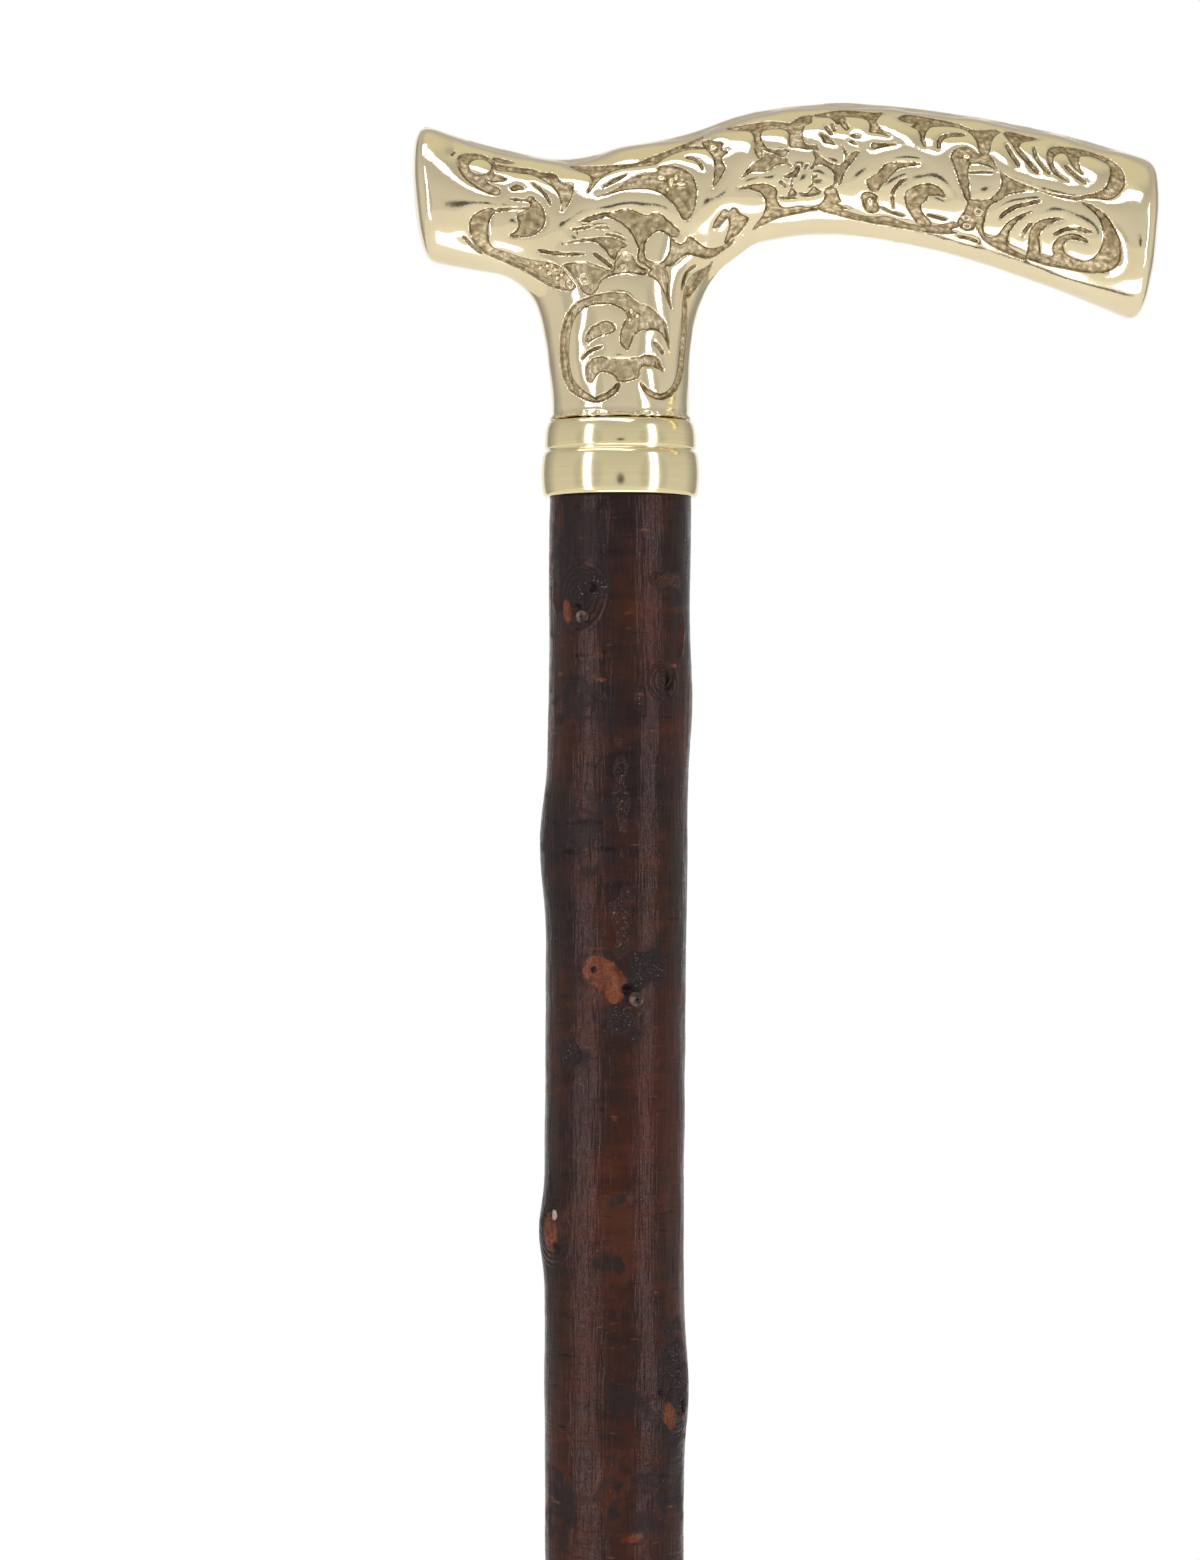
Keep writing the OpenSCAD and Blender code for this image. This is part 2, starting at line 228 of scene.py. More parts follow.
# %% Sunk ground of the nose and the bar's left part
GROUND = {
    "nose_curl": [
        (459, 150), (470, 148.5), (482, 149), (491, 153), (497, 158.5), (494, 165), (493, 171),
        (502, 173), (509, 177), (500, 179.5), (491, 180), (484, 176.5), (487, 181), (494, 184),
        (500, 187), (500, 194.5), (490, 193.5), (479, 188), (468, 180), (460.5, 171), (457.5, 161),
    ],
    "nose_top": [
        (493, 152.5), (501, 153), (509, 155.5), (517, 157.5), (510, 159), (501, 158), (495, 156.5),
    ],
    "nose_step": [
        (495, 159), (508, 162), (520, 163), (535, 164), (541, 168), (555, 168.5), (557, 173), (562, 180),
        (570, 180.5), (573.5, 184), (572.5, 192), (570, 200), (565, 208), (561, 212), (561, 200),
        (557, 189), (550, 181), (541, 175), (532, 170.5), (520, 169.5), (508, 167.5), (495, 167),
    ],
    "nose_eye": [
        (510, 184), (513, 184.5), (516, 181), (522, 183), (526, 187.5), (518, 187.5), (516, 189.5),
        (511, 189),
    ],
    "lower_curl": [
        (486, 208), (495, 208.5), (494, 213), (489.5, 218), (487, 228), (487.5, 238), (489, 246),
        (494, 251), (505, 254), (520, 259.5), (540, 262), (556, 265), (563, 270), (570, 280), (576, 287),
        (570, 291), (560, 291), (548, 288), (538, 283), (528, 276.5), (515, 270), (500, 263.5),
        (488, 258), (477, 251), (470, 240), (468, 228), (470, 218), (478, 212),
    ],
    "lower_eye": [
        (528, 194), (533, 194.5), (536, 200), (541, 204), (544.5, 212), (545, 222), (541, 231),
        (533, 237), (520, 239), (507, 238), (513, 233.5), (518, 228.5), (518.5, 223), (516.5, 218),
        (517, 212.5), (523, 211), (528, 208), (531, 203), (529, 200.5), (520, 200.5), (506, 198),
        (513, 196.5), (522, 198), (527, 197),
    ],
    "saddle_top": [
        (567, 160.5), (590, 161), (612, 161), (632, 160), (640, 157.5), (648, 153), (660, 149),
        (672, 144), (684, 139), (697, 133), (703, 131), (698, 136), (686, 141), (690, 142), (700, 141.5),
        (706, 145), (697, 144.5), (685, 145.5), (672, 150), (662, 155), (656, 161), (645, 162),
        (630, 163.5), (617, 165.5), (606, 170.5), (598, 177), (592, 186), (588, 192), (587, 188),
        (591, 178), (590, 171.5), (582, 167.5), (574, 164),
    ],
    "saddle_leaf_fold": [(600, 187), (607, 180), (615, 175), (629, 170), (622, 176), (612, 182)],
    "saddle_hollow": [
        (594, 195.5), (605, 192), (613, 189), (620, 184), (628, 177), (638, 172), (650, 170), (658, 169),
        (657, 163), (665, 162), (676, 163), (686, 168), (692, 173), (696, 182), (697, 192), (696, 203),
        (694, 212), (691, 219), (687, 222), (682, 220), (679, 212), (675, 205), (669, 199), (663, 193),
        (655, 189), (645, 187), (630, 187.5), (617, 190), (605, 194),
    ],
    "spray_ground": [
        (577, 222), (586, 218), (597, 213.5), (608, 212), (617, 211), (622, 208.5), (632, 209.5),
        (640, 213.5), (648, 216), (655, 212.5), (661, 214), (667, 220), (672, 224), (678, 229),
        (682, 234), (677, 238), (671, 237), (664, 231), (657, 231), (651, 235), (646, 242), (645, 250),
        (646, 258), (651, 262), (645, 264), (640, 262), (637, 256), (640, 249), (637, 243), (634, 236),
        (629, 229), (622, 223), (613, 218), (607, 216.5), (598, 219), (588, 222.5),
    ],
    "spray_fold": [
        (562, 244), (572, 240), (585, 237.5), (597, 237), (608, 236), (618, 238), (625, 242),
        (628.5, 246), (620, 248), (617, 254), (617, 261), (611, 257), (604, 248), (597, 241), (585, 240),
        (574, 242),
    ],
    "pearl_ground": [
        (614, 262), (620, 254), (626, 250), (632, 254), (636, 260), (640, 266), (650, 268), (648, 275),
        (635, 272.5), (625, 271.5), (615, 274), (606, 277), (600, 281), (597, 290), (590, 296),
        (582, 293), (578, 286), (572, 277), (566, 269), (560, 265), (570, 263), (580, 262), (590, 262),
        (600, 266), (608, 268.5), (614, 270),
    ],
}
print(len(GROUND), "sunk places on the nose and the bar's left part")

# %% Sunk ground of the neck
GROUND |= {
    "boss_foot": [
        (646, 257), (649, 260), (655, 262), (662, 263), (668, 260), (668, 270), (660, 268.5),
        (652, 269.5), (645, 264),
    ],
    "bud_side": [
        (670.5, 236.5), (674.5, 239), (680, 245), (686, 244), (690, 236.5), (696, 240), (703, 246),
        (711, 251), (722, 250), (732, 246), (738, 241), (736, 247), (727, 254), (719, 259), (710, 261),
        (699, 257.5), (690, 255), (683, 258), (677, 263), (669, 267), (661, 264), (668, 258), (672, 250),
    ],
    "neck_wedge": [
        (652, 268), (660, 267), (668, 268.5), (671, 276), (670.5, 288), (671, 298), (674, 312),
        (669, 302), (664.5, 290), (660, 282), (655, 277), (648, 275),
    ],
    "neck_right_top": [
        (717, 262), (709, 269), (700, 271.5), (692, 277), (688, 287), (686.5, 297), (690.5, 299),
        (697, 292), (704, 283), (713, 273),
    ],
    "neck_heart": [
        (583, 300), (590, 295), (600, 293), (610, 291.5), (620, 292), (628, 293), (633, 298), (640, 303),
        (648, 305), (655, 309), (661, 316), (667, 321), (669, 330), (671, 340), (672, 352), (667, 339),
        (662, 332), (655, 329), (648, 330), (641, 330), (636, 334), (632, 341), (629, 351), (624, 347),
        (620, 343), (620, 335), (622, 328), (624, 322), (628, 317), (626, 311), (622, 308), (617, 306),
        (611, 303), (600, 303), (590, 305), (583, 308),
    ],
    "neck_lobe_one": [
        (583, 339), (586, 331), (592, 325.5), (600, 321.5), (606, 320), (612, 322), (617, 327),
        (612, 333), (600, 335), (592, 339), (585, 344),
    ],
    "neck_lobe_two": [
        (584, 366), (588, 360.5), (594, 357), (602, 356), (610, 358.5), (620, 358), (628, 358),
        (635, 357), (641, 357), (646, 354.5), (655, 355), (661, 358), (664, 365), (666, 372), (661, 369),
        (656, 367), (650, 366), (643, 366), (641, 371), (640, 378), (636, 378.5), (629, 381),
        (622, 381.5), (617, 381), (615, 376), (609, 373), (602, 371), (597, 373), (593, 379),
        (590, 382.5), (586, 381.5), (584, 374),
    ],
    "neck_foot_left": [
        (592, 399), (598, 395), (606, 392), (612, 387.5), (617, 381), (621, 383), (618, 391), (611, 397),
        (602, 401), (594, 403),
    ],
}
print(len(GROUND), "sunk places with those of the neck")

# %% Sunk ground round the flower and the middle scroll
GROUND |= {
    "stem_zigzag": [
        (700, 136.5), (708, 134.5), (712, 137), (722, 138), (720, 143), (722, 147), (728, 148.5),
        (723, 152), (721, 156), (723, 162), (726, 166), (722, 175), (716, 183), (712.5, 190), (714, 178),
        (715, 168), (714, 160), (712, 153), (706, 146), (702, 142),
    ],
    "stem_curl": [
        (714, 231), (716, 224), (720, 218), (724, 212), (727, 211), (730, 214), (733, 209.5), (738, 211),
        (741, 217), (748, 220), (750, 222), (748, 228), (744, 234), (740, 239), (733, 241), (732, 246),
        (728, 247), (727, 243), (730, 235), (731, 228), (730, 221), (727, 222), (723, 228), (718, 231),
    ],
    "bud_ground": [
        (722, 124), (735, 121), (750, 118), (765, 115.5), (778, 116.5), (790, 119), (795, 114.5),
        (803, 110.5), (813, 109.5), (811, 113), (812, 119.5), (804, 121), (803, 127), (803, 135),
        (805, 142), (811, 143.5), (820, 142.5), (816, 147), (806, 147.5), (797, 145.5), (790, 146),
        (788, 139), (789, 130), (786, 126), (778, 124), (768, 124.5), (761, 127), (760, 133), (763, 140),
        (767, 146), (774, 148), (782, 147), (790, 147.5), (787, 153), (783, 156), (777, 153), (772, 151),
        (765, 148), (762, 147), (763, 154), (761, 158), (758, 157), (755, 150), (754, 142), (754, 134),
        (751, 128), (744, 126), (733, 125.5),
    ],
    "crown_ground": [
        (812, 110), (822, 108), (836, 105.5), (850, 105), (863, 106.5), (874, 108), (885, 107),
        (880, 111), (876, 117), (879, 122), (884, 129), (892, 135), (884, 131.5), (876, 130),
        (869, 129.5), (871, 122), (868, 115.5), (858, 112.5), (846, 111.5), (838, 112.5), (840, 118),
        (838, 121), (835, 117), (830, 112.5), (820, 112.5),
    ],
    "petal_gap": [(838, 111), (845, 111), (846, 118), (850, 124), (847, 128), (842, 122), (839, 118)],
    "petal_nick": [(819, 130), (826, 131), (832, 137), (837, 144), (830, 141), (824, 141), (823, 136)],
    "petal_slit_one": [(848, 138.5), (852, 137.5), (856, 140), (859, 144), (853, 142)],
    "petal_slit_two": [(850, 132), (856, 131), (863, 135), (856, 136.5)],
    "petal_fork": [
        (841, 142), (846, 148), (848, 155), (851, 153), (855, 150), (861, 149), (857, 155), (852, 162),
        (847, 169), (843, 177), (839.5, 189), (837, 182), (836.5, 175), (832, 169.5), (826, 165.5),
        (820, 163), (815, 166), (810.5, 170), (810, 168), (814, 163), (816, 158), (814, 152),
        (812.5, 149), (816, 149), (820, 155), (827, 160), (834, 164), (840, 165), (845, 161), (846, 156),
        (844, 149),
    ],
    "flower_heart": [
        (782, 175), (788, 174.5), (792, 172), (795, 169), (798, 163), (801, 167), (799, 173), (796, 178),
        (790, 178.5), (786, 177.5),
    ],
    "flower_foot_left": [
        (792, 187.5), (795, 192), (798, 196), (793, 200), (789, 199.5), (788, 195), (790, 193),
    ],
    "flower_foot": [
        (808, 195), (812, 190), (814, 186.5), (818, 191), (824, 193.5), (818, 197), (812, 199),
        (806, 199), (800, 197), (798, 194), (803, 195),
    ],
    "flower_smile": [(812, 182.5), (817, 180), (825, 181.5), (818, 183.5)],
    "flower_left": [
        (740, 180), (746, 171), (751, 165), (757, 159), (762, 158), (766, 151), (772, 152.5), (776, 151),
        (780, 156), (785, 158), (787, 163), (780, 163), (775, 165), (770, 170), (763, 171), (755, 170.5),
        (749, 172.5),
    ],
    "flower_low": [
        (736, 189), (750, 185.5), (762, 183.5), (770, 185), (778, 190), (777, 199), (779, 206),
        (783, 211), (791, 211), (799, 208.5), (807, 210.5), (814, 210), (819, 208), (819, 214.5),
        (812.5, 214), (803, 216.5), (790, 219.5), (780, 222), (771, 226.5), (762, 231), (753, 236.5),
        (757, 229), (763, 221), (766, 213), (767, 205), (764, 197), (758, 191.5), (748, 188.5),
    ],
    "scroll_low": [
        (816, 211), (822, 206), (826, 199), (824, 192.5), (830, 190.5), (835, 188), (838, 194),
        (839, 200), (842, 205), (836, 206), (842, 210), (849, 213), (840, 213), (850, 217), (862, 220.5),
        (875, 221.5), (884, 219.5), (894, 223), (905, 227), (914, 231), (912, 235), (900, 233.5),
        (885, 231), (868, 228), (852, 224.5), (836, 219.5), (824, 216),
    ],
    "scroll_crescent": [
        (866, 181), (870, 178), (877, 174), (882, 168), (886, 163), (892, 162), (900, 160.5), (910, 160),
        (924, 163), (912, 165), (902, 167), (896, 170), (890, 176), (886, 183), (880, 187), (879, 193),
        (870, 193), (868, 188),
    ],
    "scroll_berry": [
        (861, 197), (866, 192.5), (874, 195), (878, 198), (877, 206), (880, 212), (876, 217),
        (868, 217.5), (864, 213), (862, 205),
    ],
    "scroll_eye": [
        (906, 192), (912, 188), (920, 184.5), (930, 183.5), (938, 186), (943, 191), (947, 200),
        (940, 196), (933, 196), (928, 197), (926, 203), (921, 206), (920, 212), (924, 218), (929, 223),
        (932, 230), (918, 231), (914, 224), (909, 216), (906, 208), (904, 199),
    ],
    "leaf_split": [(872, 140), (880, 141.5), (901, 141), (890, 143.5), (880, 146), (871, 148.5)],
}
print(len(GROUND), "sunk places with those of the bar's middle")

# %% Sunk ground of the grip's end
GROUND |= {
    "wave_top": [
        (899, 112), (908, 109.5), (920, 111.5), (935, 114), (950, 116.5), (962, 119.5), (970, 124),
        (980, 126), (995, 125), (1003, 127), (997, 130), (992, 137), (991, 150), (985, 155), (979, 149),
        (978, 139), (974, 131), (967, 125), (957, 122), (945, 121), (932, 122), (927, 127), (925, 134),
        (927, 145), (922, 142), (921, 133), (919, 125), (911, 122), (917, 119), (908, 118), (900, 115),
    ],
    "bud_above": [
        (953, 149), (960, 144.5), (968, 143.5), (975, 147), (978, 152), (983, 150), (989, 151),
        (993, 156), (996, 163), (999, 171), (994, 167), (985, 163), (975, 161), (970, 163), (968, 170),
        (968.5, 178), (969, 187), (971, 197), (968, 205), (964, 196), (960.5, 185), (957, 173),
        (954, 163), (951, 156),
    ],
    "bud_right": [
        (998, 166), (1003, 172), (1012, 178), (1022, 182), (1032, 186), (1042, 189), (1032, 190),
        (1022, 191), (1012, 193), (1005, 196), (998, 201), (990, 206), (984, 214), (976, 216), (968, 211),
        (967, 198.5), (976, 200.5), (985, 201), (993, 197.5), (999, 191), (1002, 184), (1002, 177),
    ],
    "shell_top": [
        (1003, 128), (1012, 127), (1025, 130.5), (1042, 133.5), (1030, 136), (1022, 138), (1020, 143),
        (1022, 149), (1016, 145), (1011, 137),
    ],
    "shell_border": [
        (1036, 188.5), (1050, 192), (1065, 194.5), (1078, 196), (1090, 193), (1100, 190), (1106, 186),
        (1110, 178), (1112, 169), (1111, 161), (1104, 156.5), (1094, 152), (1086, 151), (1080, 152),
        (1080, 160), (1082, 168), (1086, 173), (1078, 168), (1071, 159), (1069, 152), (1064, 148.5),
        (1058, 150), (1054, 155), (1054, 162), (1058, 170), (1065, 176), (1072, 181), (1062, 177),
        (1053, 170), (1049, 161), (1047, 152), (1050, 144), (1058, 141), (1068, 143), (1080, 144),
        (1092, 147), (1104, 151), (1114, 156), (1122, 163), (1126, 172), (1126, 182), (1121, 191),
        (1113, 197), (1106, 198.5), (1098, 196.5), (1086, 197), (1078, 199.5), (1064, 197), (1048, 193),
    ],
    "end_scroll": [
        (1080, 200), (1088, 202), (1098, 207), (1107, 215), (1114, 226), (1119, 238), (1121, 250),
        (1120, 262), (1114, 271), (1104, 276), (1090, 277), (1075, 275), (1060, 272), (1045, 270),
        (1033, 266), (1024, 263), (1026, 256), (1027, 248), (1028, 240), (1029, 232), (1033, 226),
        (1041, 220.5), (1052, 218), (1067, 218), (1055, 222), (1046, 227), (1040, 233), (1038, 241),
        (1039, 250), (1039, 259), (1046, 261), (1053, 259), (1051, 251), (1054, 243), (1061, 237),
        (1070, 234), (1080, 236), (1086, 240), (1090, 246), (1080, 241), (1070, 240.5), (1064, 244),
        (1062, 251), (1066, 258), (1074, 262), (1084, 264), (1092, 261), (1099, 253), (1103, 243),
        (1104, 233), (1101, 222), (1096, 213), (1088, 206),
    ],
    "end_leaf": [
        (973, 225), (980, 220), (985, 219), (982.5, 227), (982, 234), (985, 240), (991, 241.5),
        (998, 237), (1002, 231), (1007, 224), (1015, 218.5), (1024, 213.5), (1034, 210.5), (1026, 215),
        (1018, 222), (1012, 229), (1008, 236), (1006.5, 243), (1006, 250), (1016, 256), (1027, 261),
        (1024, 265.5), (1010, 260), (1000, 256), (991, 251), (983, 245), (978, 237),
    ],
    "rim_ground": [
        (905, 228), (915, 229), (922, 231), (935, 229), (945, 227), (957, 225), (958, 231), (950, 233),
        (951, 236), (958, 237.5), (945, 239), (930, 238), (915, 236), (903, 234),
    ],
    "rim_berries": [
        (956, 226), (960, 218), (965, 212), (967, 204), (976, 205), (986, 204), (987, 211), (985, 220),
        (978, 224), (974, 228), (973, 233), (966, 235), (959, 232),
    ],
}
print(len(GROUND), "sunk places, with", sum(len(outline) for outline in GROUND.values()), "traced points")

# %% [markdown]
# A graver leaves the finer marks: leaf veins and the channel round the neck's panel. Each is a line with
# its greatest width, drawn to a point at both ends. Beads and lumps that stand in the sunk ground are
# traced as islands.

# %% Veins, channels and beads
VEINS = [
    (2.0, [(452, 151.5), (456, 147)]),
    (3.2, [(492, 211), (505, 208.5), (520, 208), (532, 207)]),
    (3.0, [(533, 180), (541, 187), (547, 195), (550, 203)]),
    (3.2, [(536, 251), (550, 253), (565, 254), (586, 253)]),
    (2.6, [(571, 230), (580, 229), (592, 226)]),
    (2.6, [(595, 227), (609, 227.5)]),
    (3.8, [(593, 252), (604, 260), (614, 268)]),
    (2.8, [(685, 153.5), (694, 155), (699, 160), (703, 168)]),
    (2.6, [(605, 233), (618, 235), (626, 240)]),
    (3.2, [(580, 359), (587, 352), (593, 348.5), (602, 346)]),
    (3.2, [(684, 290), (686, 278), (690, 271), (698, 266)]),
    (3.4, [(655, 342), (661, 347), (665, 354)]),
    (3.4, [(825, 122), (829, 127), (832, 132)]),
    (3.0, [(832, 119), (835, 128)]),
    (2.6, [(809, 163), (804, 169)]),
    (3.2, [(780, 181.5), (786, 187)]),
    (2.6, [(813, 178), (818, 176)]),
    (3.0, [(462, 238), (471, 248), (481, 256)]),
    (1.4, [(813, 174), (814, 179), (813, 186), (809, 189)]),
    (1.8, [(793, 179), (791, 184), (793, 188)]),
    (2.4, [(832, 168), (836, 175), (836, 182), (833, 188), (825, 191)]),
    (2.2, [(785, 156), (788, 162), (792, 166.5)]),
    (2.4, [(779, 199), (787, 200.5), (796, 200)]),
    (2.6, [(806, 144), (812, 146.5), (819, 147)]),
    (2.4, [(967, 171.5), (980, 170.5), (994, 171)]),
    (3.4, [(907, 178), (900, 183), (894, 190), (892, 197), (893, 212)]),
    (3.2, [(880, 210), (890, 216), (904, 220)]),
    (3.0, [(926, 217), (936, 220), (946, 223)]),
    (4.2, [(939, 146), (940, 137), (946, 132), (955, 130.5), (966, 131)]),
    (3.2, [(956, 241), (966, 242), (976, 246)]),
    (3.8, [(1007, 140), (1012, 151), (1020, 164)]),
    (4.6, [(1014, 138), (1021, 149), (1029, 159), (1039, 171)]),
    (3.6, [(1035, 143), (1036, 153), (1042, 162), (1051, 172)]),
    (3.6, [(1066, 162), (1075, 172), (1087, 181)]),
    (4.0, [(999, 220), (1008, 211), (1020, 205), (1042, 200)]),
    (3.4, [(1021, 241), (1024, 232), (1032, 224)]),
    (3.8, [(1053, 237), (1062, 231), (1075, 228), (1092, 233)]),
]
CHANNELS = [
    (9.5, [
        (594, 297), (583, 302), (574, 309), (567.5, 318), (563.5, 331), (562, 347), (562.5, 365),
        (566, 380), (572, 388.5), (582, 395), (595, 401),
    ]),
    (6.0, [
        (688, 288), (687, 305), (686.5, 330), (684.5, 355), (681.5, 377), (676.5, 389), (667, 396.5),
        (657, 396), (649, 392), (641, 382),
    ]),
]
ISLANDS = [
    ((480.5, 163.0), (11.5, 8.5)),
]
RINGLETS = [
    ((582.7, 279), (6.6, 6.4)),
    ((567.5, 284.5), (5.4, 5.4)),
    ((626.5, 255), (5.2, 5.2)),
    ((624.5, 267), (6.0, 5.0)),
    ((978, 213.5), (6.2, 5.6)),
    ((965.5, 220.5), (5.4, 4.2)),
    ((966, 229.5), (5.8, 4.0)),
]
BEADS = [
    ((661, 176), (5.4, 3.8)),
    ((671, 180.5), (3.4, 6.2)),
    ((681, 183), (6.8, 2.8)),
    ((676.3, 175.5), (2.8, 3.8)),
    ((667.5, 188.5), (3.0, 2.8)),
    ((632, 310), (3.2, 4.2)),
    ((638.5, 315), (3.2, 3.0)),
    ((630.5, 319), (2.6, 2.6)),
    ((712, 143.5), (5.0, 2.6)),
    ((538, 270), (2.8, 2.6)),
    ((545.5, 267.5), (2.8, 2.8)),
    ((546.5, 275.5), (2.8, 2.6)),
    ((553.5, 271), (3.0, 2.8)),
    ((555, 279.5), (2.8, 2.8)),
    ((560, 276), (2.6, 2.8)),
    ((870, 205), (4.4, 6.0)),
    ((967, 155), (5.0, 3.4)),
]
print(len(VEINS), "veins,", len(CHANNELS), "channels and", len(BEADS) + len(RINGLETS), "beads")

# %% [markdown]
# The handle starts as a copy of its solid. A voxel remesh turns the facets into an even skin of small
# squares, and smoothing rounds off the last of them and fillets the corner between neck and bar, as a
# casting has.

# %% An even skin for the handle
SKIN_SIZE = 0.76 * MM
SKIN_SMOOTHING = 12


def even_skin(node, size, smoothing):
    """Remeshed and smoothed copy of a node's mesh."""
    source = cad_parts[node].data.copy()
    bm = bmesh.new()
    bm.from_mesh(source)
    bmesh.ops.remove_doubles(bm, verts=bm.verts, dist=1e-6)
    bm.to_mesh(source)
    bm.free()
    helper = bpy.data.objects.new("skin_helper", source)
    scene.collection.objects.link(helper)
    remesh = helper.modifiers.new("even_squares", "REMESH")
    remesh.mode = "VOXEL"
    remesh.voxel_size = size
    smooth = helper.modifiers.new("soften", "SMOOTH")
    smooth.factor = 0.5
    smooth.iterations = smoothing
    bpy.context.view_layer.update()
    evaluated = helper.evaluated_get(bpy.context.evaluated_depsgraph_get())
    mesh = bpy.data.meshes.new_from_object(evaluated)
    bpy.data.objects.remove(helper)
    bpy.data.meshes.remove(source)
    return mesh


handle_mesh = even_skin("brass_handle", SKIN_SIZE, SKIN_SMOOTHING)
print("handle skin:", len(handle_mesh.vertices), "vertices")

# %% [markdown]
# Each vertex of the skin looks up how far it lies inside the nearest sunk place, seen along the camera's
# line. The back takes the same pattern. Near the top and bottom edges, where the surface turns away, the
# depth fades out.

# %% How far a place lies from the relief's edge
NEAR = 12.0
VEIN_FULL = 1.6
VEIN_POINT = 0.02
RINGLET_MIDDLE = 0.62
RINGLET_RISE = 0.42


def share_out(pixels, middle, size):
    """Distance from the middle of an oval in the photograph: 1 on its edge."""
    return np.hypot(*((pixels - np.array(middle)) / np.array(size)).T)


def sunk_distance(pixels):
    """Signed distance to the relief's edge in pixels: negative inside sunk ground, positive on leaves."""
    edge = np.full(len(pixels), NEAR)

    def close_to(line, reach):
        low = line.min(axis=0) - reach
        high = line.max(axis=0) + reach
        return np.nonzero(np.all((pixels > low) & (pixels < high), axis=1))[0]

    for outline in GROUND.values():
        line = rounded(outline, closed=True)
        chosen = close_to(line, NEAR)
        gap, _ = nearest_on(line, pixels[chosen], closed=True)
        gap = np.where(inside(line, pixels[chosen]), -gap, gap)
        edge[chosen] = np.minimum(edge[chosen], gap)
    for width, path in VEINS + CHANNELS:
        line = rounded(path, closed=False)
        chosen = close_to(line, NEAR)
        gap, along = nearest_on(line, pixels[chosen], closed=False)
        half = width / 2 * np.sqrt(np.clip(np.sin(math.pi * along) * VEIN_FULL, VEIN_POINT, 1.0))
        edge[chosen] = np.minimum(edge[chosen], gap - half)
    for middle, size in ISLANDS:
        edge = np.maximum(edge, (1 - share_out(pixels, middle, size)) * min(size))
    return edge


def bead_height(pixels):
    """Height of the beads and the punched rings that stand in the ground: 1 on top of each."""
    height = np.zeros(len(pixels))
    for middle, size in BEADS:
        away = share_out(pixels, middle, size)
        height = np.maximum(height, np.sqrt(np.clip(1 - away ** 2, 0, 1)))
    for middle, size in RINGLETS:
        across = (share_out(pixels, middle, size) - RINGLET_MIDDLE) / (1 - RINGLET_MIDDLE)
        height = np.maximum(height, RINGLET_RISE * np.sqrt(np.clip(1 - across ** 2, 0, 1)))
    return height


# %% What each vertex of the skin looks up
# The relief fades where the face turns from the camera, and spares the neck's foot and the hole for the stud
FACING = (0.03, 0.24)
PLAIN_FOOT = 0.6 * MM
HOLE_R = 8 * MM
HOLE_TOP = 30 * MM
RUBBED_DOWN = (205, 290)
RUBBED_ACROSS = (690, 740)


def relief_places(mesh):
    """Distance to the relief's edge in millimetres, bead height, and the shares that show and are rubbed."""
    places = vertex_places(mesh)
    normals = vertex_normals(mesh)
    pixels = seen_at(places)
    shows = ease(*FACING, np.abs(normals[:, 1]))
    axis_gap = np.hypot(places[:, 0], places[:, 1])
    above = places[:, 2] - COLLAR_TOP_Z
    shows = shows * ((above > PLAIN_FOOT) & ((axis_gap > HOLE_R) | (above > HOLE_TOP)))
    rubbed = ease(*RUBBED_DOWN, pixels[:, 1]) * (1 - ease(*RUBBED_ACROSS, pixels[:, 0]))
    return sunk_distance(pixels) * PIXEL / MM, bead_height(pixels), shows, rubbed


# %% [markdown]
# Small squares are only needed where the relief has edges. So the faces there are cut in four, and on the
# front face in four again, and the new points are evened out. The plain leaves keep the larger squares.

# %% Smaller squares along the relief
EDGE_BAND = 0.3
FINE_BAND = (-0.18, 0.04)
EVENING_ROUNDS = 4


def finer(mesh, chosen):
    """Cuts each face with a chosen vertex in four and evens out the points there."""
    bm = bmesh.new()
    bm.from_mesh(mesh)
    bm.verts.ensure_lookup_table()
    faces = {face for i in np.nonzero(chosen)[0] for face in bm.verts[i].link_faces}
    edges = {edge for face in faces for edge in face.edges}
    made = bmesh.ops.subdivide_edges(bm, edges=list(edges), cuts=1, use_grid_fill=True)
    moved = {g for g in made["geom"] if isinstance(g, bmesh.types.BMVert)}
    for _ in range(EVENING_ROUNDS):
        bmesh.ops.smooth_vert(
            bm, verts=list(moved), factor=0.5, use_axis_x=True, use_axis_y=True, use_axis_z=True
        )
    bm.to_mesh(mesh)
    bm.free()


edge_mm, bead, shows, rubbed = relief_places(handle_mesh)
front = vertex_places(handle_mesh)[:, 1] < 0
finer(handle_mesh, (shows > 0) & (edge_mm < EDGE_BAND) & (front | (edge_mm > -EDGE_BAND)))
edge_mm, bead, shows, rubbed = relief_places(handle_mesh)
front = vertex_places(handle_mesh)[:, 1] < 0
on_edge = (edge_mm > FINE_BAND[0]) & (edge_mm < FINE_BAND[1])
finer(handle_mesh, front & (shows > 0) & (on_edge | (bead > 0)))
handle_mesh.shade_smooth()
handle_mesh.calc_loop_triangles()
edge_mm, bead, shows, rubbed = relief_places(handle_mesh)
print("handle skin:", len(handle_mesh.loop_triangles), "triangles")

# %% [markdown]
# A leaf between two cuts is plump, like a pillow. To find its height, the skin is held down at every edge
# and drawn up elsewhere, and each vertex settles step by step at the mean of its neighbours, a little
# raised.

# %% Plump leaves
LEAF_REACH = 2.0
LEAF_ROUNDS = 260


